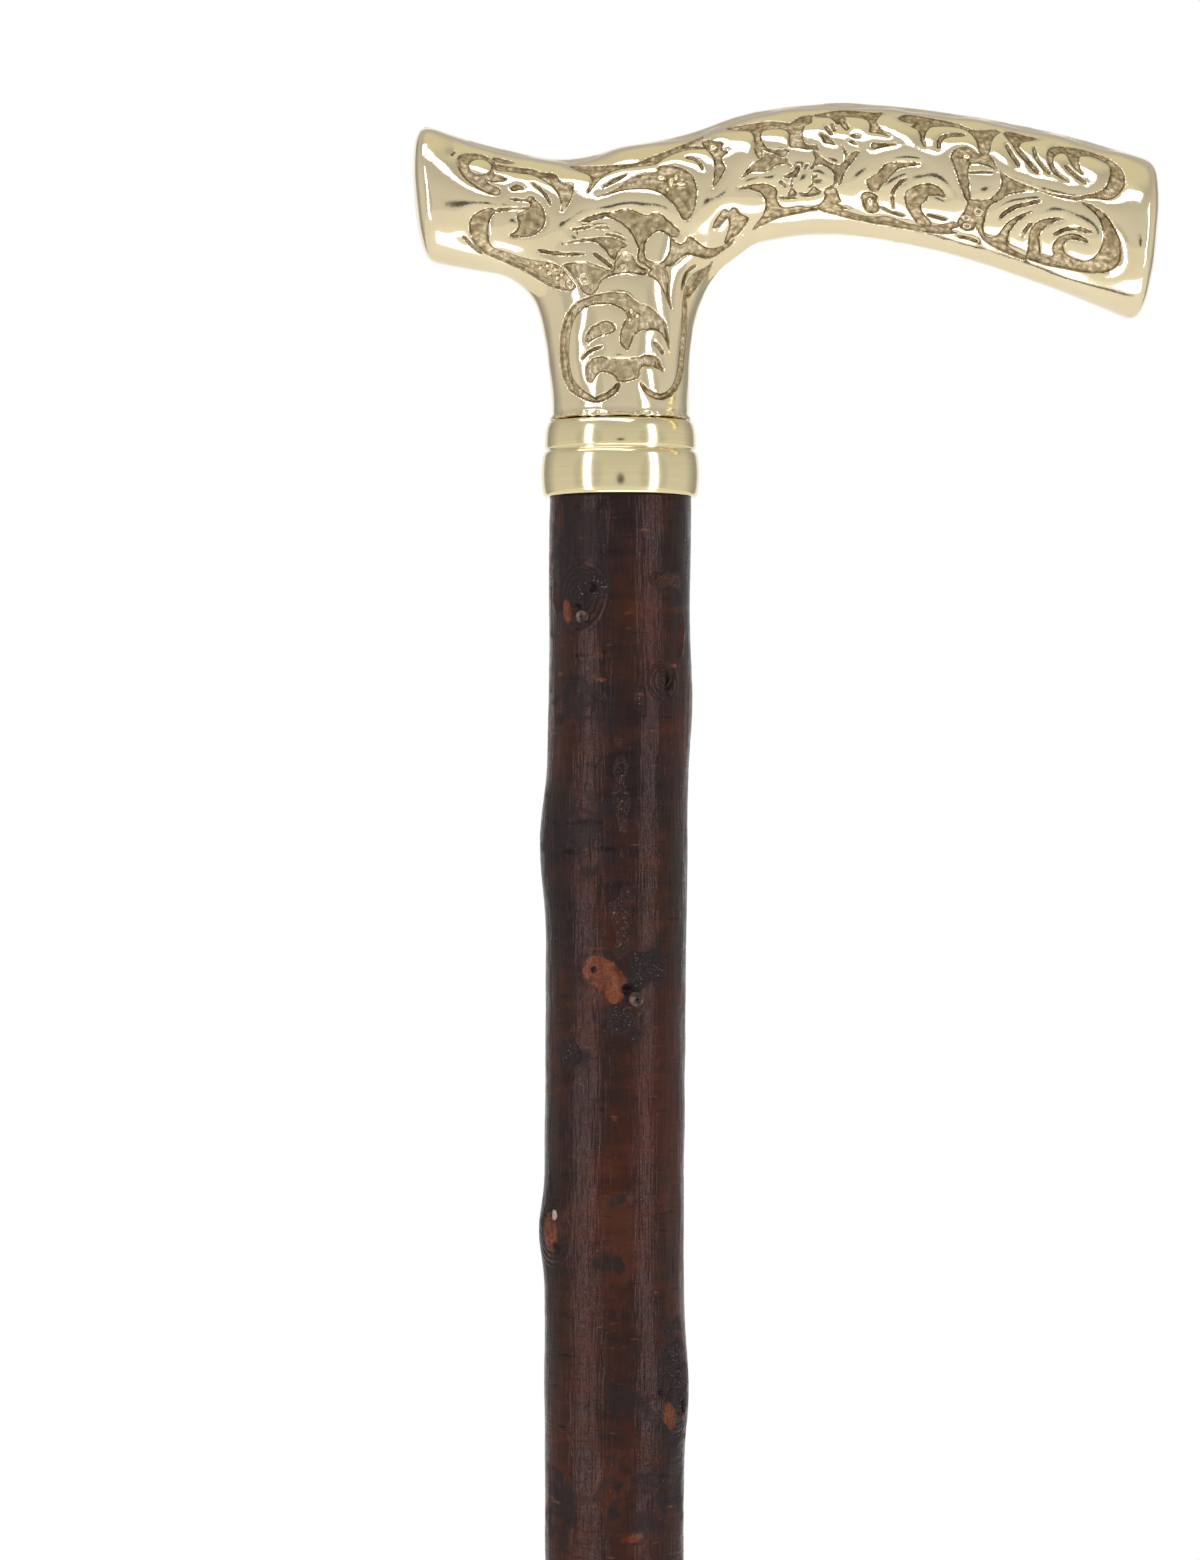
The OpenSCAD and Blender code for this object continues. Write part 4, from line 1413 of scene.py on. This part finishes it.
for depth_below, turn, rise, half_length, half_width in KNOTS[KNOTS_SEEN:]:
    away = np.hypot((foot - z - depth_below) / half_length, turn_from(angle, turn) / half_width)
    scar = np.maximum(scar, np.clip(1 - 0.5 * away / 0.42, 0, 1))
    dark = np.maximum(dark, np.clip(1 - 0.5 * away / 1.3, 0, 1))
    relief += KNOT_LIP * lip(away, 0.5, 0.12)
print("marks from", round(relief.min(), 2), "to", round(relief.max(), 2), "mm")

# %% Bark wrinkles, and the skin moved
LUMPY = 0.13
RIDGED = 0.05
CREASED = 0.03
CRUSTED = 0.10
MEAN_R = 11.0

unrolled = np.stack([np.cos(np.radians(angle)) * MEAN_R, np.sin(np.radians(angle)) * MEAN_R, z], axis=1)
lumps = noise_at(unrolled * (1, 1, 0.6), 5.0, 3)
ridges = noise_at(unrolled * (1, 1, 0.15), 1.4, 4)
creases = noise_at(unrolled * (0.4, 0.4, 1), 1.1, 5)
crust = ease(0.3, 0.75, dark)
relief += LUMPY * lumps + RIDGED * ridges + CREASED * creases + CRUSTED * crust * (creases + ridges)
ends = np.clip(np.minimum((z - SEAT_TOP) / 3, (foot - z) / 1.5), 0, 1)
radius = form_r + relief * ends
shaft_places[skin, 0] = middle_x + radius * np.cos(np.radians(angle))
shaft_places[skin, 1] = middle_y + radius * np.sin(np.radians(angle))
put_places(shaft_mesh, shaft_places * MM)
kept = {"scar": scar, "pale": pale, "dark": dark, "rust": rust, "black": black, "grit": grit, "knot": knot}
for name, values in kept.items():
    full = np.zeros(len(shaft_places))
    full[skin] = values
    put_attribute(shaft_mesh, name, full)
print("bark relief from", round(relief.min(), 2), "to", round(relief.max(), 2), "mm")

# %% [markdown]
# Varnished blackthorn is nearly black with a red-brown glow, mottled along the grain, and flecked with
# short orange breathing pores that lie across it. Noise stretched along or across the stick gives each of
# these, and noise added to the marks' fields gives them ragged edges.

# %% Tones of the bark
BARK = [
    (0.38, (0.0085, 0.0065, 0.0062)),
    (0.46, (0.0170, 0.0090, 0.0072)),
    (0.53, (0.0280, 0.0098, 0.0060)),
    (0.60, (0.0440, 0.0120, 0.0062)),
]
SCAR_WOOD = [(0.36, (0.035, 0.009, 0.004)), (0.5, (0.085, 0.022, 0.009)), (0.64, (0.170, 0.056, 0.025))]
RUST = (0.052, 0.017, 0.009)
CRUST = (0.0085, 0.0075, 0.0075)
SEAM = (0.006, 0.005, 0.005)
SLIT = (0.005, 0.004, 0.004)
PORE = (0.10, 0.034, 0.016)
# GLINT is the colour of painted glints
GLINT = (0.24, 0.20, 0.17)
BLACK = (0.004, 0.0035, 0.0035)
PALE_WOOD = (0.30, 0.24, 0.17)

blackthorn, tree, shader = new_material("blackthorn")
patches = object_noise(tree, 60.0, 6.0, stretch=(1, 1, 0.55))
bands = object_noise(tree, 330.0, 5.0, stretch=(0.45, 0.45, 1.5))
strands = object_noise(tree, 2400.0, 4.0, stretch=(1, 1, 0.07))
specks = object_noise(tree, 1700.0, 2.0)
dust = object_noise(tree, 3200.0, 2.0)
flakes = object_noise(tree, 420.0, 8.0, stretch=(1, 1, 0.7))
slits = object_noise(tree, 1500.0, 2.0, stretch=(0.12, 0.12, 1))
seams = object_noise(tree, 800.0, 4.0, stretch=(1, 1, 0.22))
pores = object_noise(tree, 520.0, 1.5, stretch=(0.45, 0.45, 1.8))
wood = ramp(tree, add_up(tree, (patches, 0.55), (bands, 0.30), (strands, 0.15)), BARK)
scar_wood = ramp(tree, add_up(tree, (dust, 0.3), (flakes, 0.5), (strands, 0.2)), SCAR_WOOD)
print(len(BARK), "bark tones and", len(SCAR_WOOD), "tones of bare wood")

# %% Layers of bark, from the wood's tone to the marks on top
rust_here = span(tree, add_up(tree, (attribute(tree, "rust"), 0.7), (flakes, 1.0)), 0.0, 0.6, 0.84, 1.02)
crust_field = add_up(tree, (attribute(tree, "dark"), 0.62), (flakes, 1.0), (bands, 0.5))
crust_here = span(tree, crust_field, 0.0, 0.85, 0.98, 1.12)
gritty = span(tree, add_up(tree, (attribute(tree, "grit"), 0.62), (flakes, 1.0)), 0.0, 1.0, 0.76, 0.92)
# The pale specks are painted glints, with more of them where the bark is gritty
glints = span(tree, add_up(tree, (dust, 1.0), (gritty, 0.09)), 0.0, 0.6, 0.73, 0.79)
scar_field = add_up(tree, (attribute(tree, "scar"), 1.0), (dust, 0.10), (flakes, 0.35))
# Black over the bark's pits and cracks is painted shade
black_field = add_up(tree, (attribute(tree, "black"), 1.0), (flakes, 0.5))
pale_field = add_up(tree, (attribute(tree, "pale"), 1.0), (specks, 0.3))
layers = [
    (rust_here, RUST),
    (crust_here, CRUST),
    (span(tree, seams, 0.0, 0.85, 0.66, 0.72), SEAM),
    (span(tree, slits, 0.0, 0.8, 0.66, 0.72), SLIT),
    (span(tree, pores, 0.0, 0.7, 0.72, 0.79), PORE),
    (glints, GLINT),
    (span(tree, scar_field, 0.0, 1.0, 0.68, 0.80), scar_wood),
    (span(tree, black_field, 0.0, 0.95, 0.70, 0.82), BLACK),
    (span(tree, pale_field, 0.0, 1.0, 0.62, 0.70), PALE_WOOD),
]
bark_tone = wood
for share, tone in layers:
    bark_tone = blend(tree, share, bark_tone, tone)
tree.links.new(bark_tone, shader.inputs["Base Color"])
print(len(layers), "layers over the wood's tone")

# %% Varnish and grain of the bark
RING_COUNT = 6
CRUST_DULL = 0.22

gloss = span(tree, bands, 0.18, 0.30, 0.35, 0.65)
tree.links.new(add_up(tree, (gloss, 1.0), (crust_here, CRUST_DULL)), shader.inputs["Roughness"])
shader.inputs["Specular IOR Level"].default_value = 0.17
shader.inputs["Specular Tint"].default_value = (1.0, 0.60, 0.44, 1.0)
crumbs = times(tree, gritty, specks)
near_knot = attribute(tree, "knot")
ring_wave = add_node(tree, "ShaderNodeMath", operation="SINE")
tree.links.new(add_up(tree, (near_knot, RING_COUNT * math.tau), (flakes, 7.0)), ring_wave.inputs[0])
rings = times(tree, ring_wave.outputs[0], span(tree, near_knot, 0.0, 1.0, 0.0, 0.3))
grain = add_up(
    tree,
    (strands, 0.4),
    (bands, 0.25),
    (flakes, 0.45),
    (slits, -0.35),
    (seams, -0.3),
    (crumbs, 1.8),
    (rings, 0.32),
)
add_bump(tree, shader, grain, strength=0.55, distance=0.5 * MM)
shaft = add_piece("bark_shaft", shaft_mesh, blackthorn, "stick", "shaft")

# %% [markdown]
# Where a twig was cut off with a knife a short round stub is left. Each is a cone with a broken edge and
# a small pith hole, made upright at the origin and then turned to stand square on the bark.

# %% Trimmed twig stubs
# Each stub has its depth below the collar, its turn from the front line, its radius and its rise
STUBS = [
    ((619 - COLLAR_FOOT_PX) * PIXEL / MM, front_turn(583.3, 19.5), 0.95, 0.75),
    ((996 - COLLAR_FOOT_PX) * PIXEL / MM, front_turn(635, 79.8), 1.1, 1.0),
]
STUBS += [(knot_row[0], knot_row[1] + 90, 1.2, 0.5) for knot_row in KNOTS[KNOTS_SEEN:]]
STUB_ROOT = 1.2
STUB_SIDES = 20
STUB_FLARE = 1.15
CUT_EDGE = 0.25
CUT_RISE = 0.18
CUT_FACE = 0.54
PITH_EDGE = 0.06
PITH_DEPTH = 0.4

bm = bmesh.new()
for below, turn, stub_r, rise in STUBS:
    unit = stub_r * MM
    made = bmesh.ops.create_cone(
        bm,
        cap_ends=True,
        segments=STUB_SIDES,
        radius1=unit * STUB_FLARE,
        radius2=unit,
        depth=(STUB_ROOT + rise) * MM,
    )
    top = [v for v in made["verts"] if v.co.z > 0]
    cap = [f for f in bm.faces if all(v in top for v in f.verts)]
    bmesh.ops.inset_region(bm, faces=cap, thickness=unit * CUT_EDGE, depth=unit * CUT_RISE)
    bmesh.ops.inset_region(bm, faces=cap, thickness=unit * CUT_FACE, depth=0.0)
    bmesh.ops.inset_region(bm, faces=cap, thickness=unit * PITH_EDGE, depth=-PITH_DEPTH * MM)
    linked = {v for f in cap for v in f.verts}
    while True:
        grown = linked | {v for u in linked for e in u.link_edges for v in e.verts}
        if len(grown) == len(linked):
            break
        linked = grown
    stub_angle = math.radians(turn - 90)
    at = np.array([foot - below])
    middle = stick_middle(at)
    bark = stick_radius(np.array([math.degrees(stub_angle)]), at)[0]
    out = Vector((math.cos(stub_angle), math.sin(stub_angle), 0))
    axis_place = Vector((middle[0][0], middle[1][0], at[0])) * MM
    place = axis_place + out * (bark + (rise - STUB_ROOT) / 2) * MM
    stand = out.to_track_quat("Z", "Y").to_matrix().to_4x4()
    bmesh.ops.transform(bm, matrix=stand, verts=list(linked))
    bmesh.ops.translate(bm, vec=place, verts=list(linked))
stubs_mesh = mesh_from(bm, "twig_stubs")

CUT_WOOD = [(0.36, (0.020, 0.012, 0.008)), (0.5, (0.060, 0.034, 0.022)), (0.62, (0.14, 0.084, 0.055))]
twig_end, tree, shader = new_material("twig_end")
tree.links.new(ramp(tree, object_noise(tree, 900.0, 4.0), CUT_WOOD), shader.inputs["Base Color"])
shader.inputs["Roughness"].default_value = 0.65
shader.inputs["Specular IOR Level"].default_value = 0.12
stubs = add_piece("twig_stubs", stubs_mesh, twig_end, "stick", None)
print(len(STUBS), "stubs")

# %% [markdown]
# The ferrule is moulded rubber: a flared foot with a ringed tread, a sleeve with three round ribs, and a
# socket. It is turned like the collar, from one outline that runs up the outside, down the socket and out
# along the tread.

# %% Mould the ferrule
FERRULE_H = 45.0
FOOT_R = 17.0
FOOT_H = 7.0
FOOT_ROUND = 1.5
SLEEVE_R = 12.5
SLEEVE_ROUND = 1.2
TAPER_TOP = 20.0
SOCKET_R = 9.55
SOCKET_LIP = 0.5
FLOOR = 12.0
RIBS = 3
RIB_RISE = 0.8
RIB_HALF = 1.6
TREAD = 2.4
TREAD_DEPTH = 1.6
TREAD_EDGE = 0.2
RUBBER = [(0.3, (0.016, 0.016, 0.017)), (0.7, (0.034, 0.033, 0.033))]


def quarter(middle_r, middle_z, radius, start, end, steps=8):
    """Arc of an outline about a middle."""
    turns = np.linspace(start, end, steps)
    return [(middle_r + radius * math.cos(a), middle_z + radius * math.sin(a)) for a in turns]


outside = quarter(FOOT_R - FOOT_ROUND, FOOT_ROUND, FOOT_ROUND, -math.pi / 2, 0)
outside += [
    (FOOT_R + (SLEEVE_R - FOOT_R) * math.sin(a), FOOT_H + (TAPER_TOP - FOOT_H) * (1 - math.cos(a)))
    for a in np.linspace(0, math.pi / 2, 16)
]
for i in range(RIBS):
    rib_z = TAPER_TOP + (FERRULE_H - TAPER_TOP) * (i + 0.7) / (RIBS + 0.4)
    outside += [
        (SLEEVE_R + RIB_RISE * math.cos(a), rib_z + RIB_HALF * math.sin(a))
        for a in np.linspace(-math.pi / 2, math.pi / 2, 12)
    ]
outside += quarter(SLEEVE_R - SLEEVE_ROUND, FERRULE_H - SLEEVE_ROUND, SLEEVE_ROUND, 0, math.pi / 2)
socket = [
    (SOCKET_R + SOCKET_LIP, FERRULE_H),
    (SOCKET_R, FERRULE_H - SOCKET_LIP),
    (SOCKET_R, FLOOR),
    (0.0, FLOOR),
]
tread = [(0.0, 0.0)]
for groove_r in (FOOT_R - 4 * TREAD, FOOT_R - 2 * TREAD):
    tread += [
        (groove_r - TREAD - TREAD_EDGE, 0.0),
        (groove_r - TREAD, TREAD_EDGE),
        (groove_r - TREAD, TREAD_DEPTH),
        (groove_r, TREAD_DEPTH),
        (groove_r, TREAD_EDGE),
        (groove_r + TREAD_EDGE, 0.0),
    ]
ferrule_mesh = turned(outside + socket + tread, "ferrule")

rubber, tree, shader = new_material("ferrule_rubber")
tree.links.new(ramp(tree, object_noise(tree, 260.0, 4.0), RUBBER), shader.inputs["Base Color"])
tree.links.new(span(tree, object_noise(tree, 90.0), 0.55, 0.78), shader.inputs["Roughness"])
add_bump(tree, shader, object_noise(tree, 2400.0, 2.0), strength=0.18, distance=0.2 * MM)
add_piece("ribbed_ferrule", ferrule_mesh, rubber, "foot", "rubber_ferrule")

# %% [markdown]
# The stud and the washer are plain steel parts that keep their construction shapes. They only need a
# finish: rolled steel with faint lines along the bar, and a zinc skin with a crystal mottle.

# %% Steel finishes


def steel(name, dark_tone, light_tone, scale, stretch, rough):
    """Steel with a stretched mottle in its colour and gloss."""
    material, tree, shader = new_material(name)
    shader.inputs["Metallic"].default_value = 1.0
    grain = object_noise(tree, scale, 4.0, stretch)
    tree.links.new(ramp(tree, grain, [(0.3, dark_tone), (0.7, light_tone)]), shader.inputs["Base Color"])
    tree.links.new(span(tree, grain, rough, rough + 0.15, 0.3, 0.7), shader.inputs["Roughness"])
    return material


stud_steel = steel("stud_steel", (0.42, 0.42, 0.43), (0.60, 0.60, 0.61), 500.0, (1, 1, 0.05), 0.28)
washer_steel = steel("washer_steel", (0.50, 0.51, 0.53), (0.66, 0.67, 0.69), 350.0, (1, 1, 1), 0.30)
for node, material in (("handle_stud", stud_steel), ("ferrule_washer", washer_steel)):
    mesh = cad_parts[node].data
    mesh.materials.clear()
    mesh.materials.append(material)
print("steel on the stud and the washer")

# %% [markdown]
# The stage is a plain studio with a pale floor and white behind. The floor and the world could be made
# white with more light, but that would bleach the brass, so the floor glows only where the camera or a
# reflection sees it.

# %% Floor
FLOOR_R = 3.0
FLOOR_PAINT = [(0.3, (0.86, 0.86, 0.86)), (0.7, (0.89, 0.89, 0.89))]
FLOOR_GLOW = 0.32

bm = bmesh.new()
bmesh.ops.create_circle(bm, cap_ends=True, radius=FLOOR_R, segments=64)
floor_mesh = bpy.data.meshes.new("floor")
bm.to_mesh(floor_mesh)
bm.free()
floor = bpy.data.objects.new("floor", floor_mesh)
scene.collection.objects.link(floor)
floor_paint, tree, shader = new_material("floor_paint")
tree.links.new(ramp(tree, object_noise(tree, 2.0), FLOOR_PAINT), shader.inputs["Base Color"])
shader.inputs["Roughness"].default_value = 0.8
shader.inputs["Emission Color"].default_value = (1.0, 0.98, 0.95, 1.0)
seen_by = add_node(tree, "ShaderNodeLightPath")
seen = add_node(tree, "ShaderNodeMath", operation="MAXIMUM")
tree.links.new(seen_by.outputs["Is Camera Ray"], seen.inputs[0])
tree.links.new(seen_by.outputs["Is Glossy Ray"], seen.inputs[1])
tree.links.new(span(tree, seen.outputs[0], 0.0, FLOOR_GLOW), shader.inputs["Emission Strength"])
floor_mesh.materials.append(floor_paint)
print("floor of", FLOOR_R, "m radius")

# %% [markdown]
# Polished brass shows the room, so the room is part of its finish. The world is grey overhead and darker
# to the back sides, and it has a small dark opening where the camera stands, which gives the dark spots
# on the leaves.

# %% Surroundings
ROOM = [
    (0.0, (0.66, 0.66, 0.66)),
    (0.45, (0.76, 0.76, 0.76)),
    (0.60, (0.70, 0.70, 0.70)),
    (0.88, (0.52, 0.52, 0.52)),
    (0.97, (0.76, 0.75, 0.64)),
]
BACK_SIDES = (0.38, 0.38, 0.38)
OPENING = (0.07, 0.07, 0.07)
OPENING_TOWARD = (0.0, -1.0, -0.1)
OPENING_EDGE = (0.9935, 0.9975)
BESIDE_STRIPS = (0.58, 0.58, 0.58)
BESIDE_EDGE = (0.91, 0.95)
WHITE = (1.0, 1.0, 1.0)
STRIP_SIDE = math.radians(50)

world = bpy.data.worlds.new("studio")
world.use_nodes = True
scene.world = world
tree = world.node_tree
sky = tree.nodes["Background"]
looking = add_node(tree, "ShaderNodeTexCoord").outputs["Generated"]
parts = add_node(tree, "ShaderNodeSeparateXYZ")
tree.links.new(looking, parts.inputs["Vector"])


def facing(toward, edge):
    """Share of the world that lies round a direction, with a soft edge."""
    dot = add_node(tree, "ShaderNodeVectorMath", operation="DOT_PRODUCT")
    dot.inputs[1].default_value = Vector(toward).normalized()
    tree.links.new(looking, dot.inputs[0])
    return span(tree, dot.outputs["Value"], 0.0, 1.0, *edge)


room = ramp(tree, span(tree, parts.outputs["Z"], 0.0, 1.0, -1.0, 1.0), ROOM)
behind = span(tree, parts.outputs["Y"], 0.0, 1.0, 0.35, 0.72)
level = span(tree, parts.outputs["Z"], 1.0, 0.0, 0.3, 0.6)
room = blend(tree, times(tree, behind, level), room, BACK_SIDES)
room = blend(tree, span(tree, parts.outputs["Y"], 0.0, 1.0, 0.84, 0.88), room, WHITE)
room = blend(tree, facing(OPENING_TOWARD, OPENING_EDGE), room, OPENING)
for side in (-1, 1):
    strip_toward = (side * math.sin(STRIP_SIDE), -math.cos(STRIP_SIDE), 0.0)
    room = blend(tree, facing(strip_toward, BESIDE_EDGE), room, BESIDE_STRIPS)
path = add_node(tree, "ShaderNodeLightPath")
tree.links.new(blend(tree, path.outputs["Is Camera Ray"], room, WHITE), sky.inputs["Color"])
sky.inputs["Strength"].default_value = 1.0
print("world:", len(tree.nodes), "nodes")

# %% [markdown]
# A wide light hangs overhead, one upright strip on each side draws the bright lines down the collar, and
# a soft light from below stands for a white table. The bark's wax needs a stronger strip than the brass
# can take, so a second pair stands just behind the first, and light linking lets it reach the wood alone.

# %% Lamps
HANDLE_Z = COLLAR_TOP_Z + 30 * MM
LAMP_TINT = (0.88, 0.97, 1.28)
OVERHEAD_POWER = 2.3
OVERHEAD_SIZE = (1.1, 0.26)
TABLE_POWER = 1.7
TABLE_SIZE = (0.95, 0.34)
STRIP_POWER = 1.5
STRIP_REACH = 0.90
SHEEN_POWER = 3.7
SHEEN_REACH = 0.93
STRIP_TALL = 0.9
STRIP_WIDTHS = {-1: 0.14, 1: 0.16}
STRIP_NAMES = {-1: "strip_left", 1: "strip_right"}


def soft_lamp(name, place, aim, size, power):
    """Rectangular soft light that points at a place and isn't itself in the picture."""
    data = bpy.data.lights.new(name, "AREA")
    data.shape = "RECTANGLE"
    data.size, data.size_y = size
    data.energy = power
    data.color = LAMP_TINT
    lamp = bpy.data.objects.new(name, data)
    lamp.location = place
    lamp.rotation_euler = (Vector(aim) - Vector(place)).to_track_quat("-Z", "Y").to_euler()
    lamp.visible_camera = False
    scene.collection.objects.link(lamp)
    return lamp


wood_only = bpy.data.collections.new("wood_only")
wood_only.objects.link(shaft)
wood_only.objects.link(stubs)
soft_lamp("overhead", (-0.22, -0.40, HANDLE_Z + 0.63), (0.02, 0.0, HANDLE_Z), OVERHEAD_SIZE, OVERHEAD_POWER)
strip_aim = Vector((0.0, 0.0, HANDLE_Z - 0.05))
for side, width in STRIP_WIDTHS.items():
    name = STRIP_NAMES[side]
    aside = Vector((side * math.sin(STRIP_SIDE), -math.cos(STRIP_SIDE), 0.0))
    soft_lamp(name, strip_aim + aside * STRIP_REACH, strip_aim, (width, STRIP_TALL), STRIP_POWER)
    sheen_place = strip_aim + aside * SHEEN_REACH
    sheen = soft_lamp(name + "_sheen", sheen_place, strip_aim, (width, STRIP_TALL), SHEEN_POWER)
    sheen.light_linking.receiver_collection = wood_only
soft_lamp("table_glow", (0.14, -0.26, HANDLE_Z - 0.70), (0.14, 0.0, HANDLE_Z), TABLE_SIZE, TABLE_POWER)
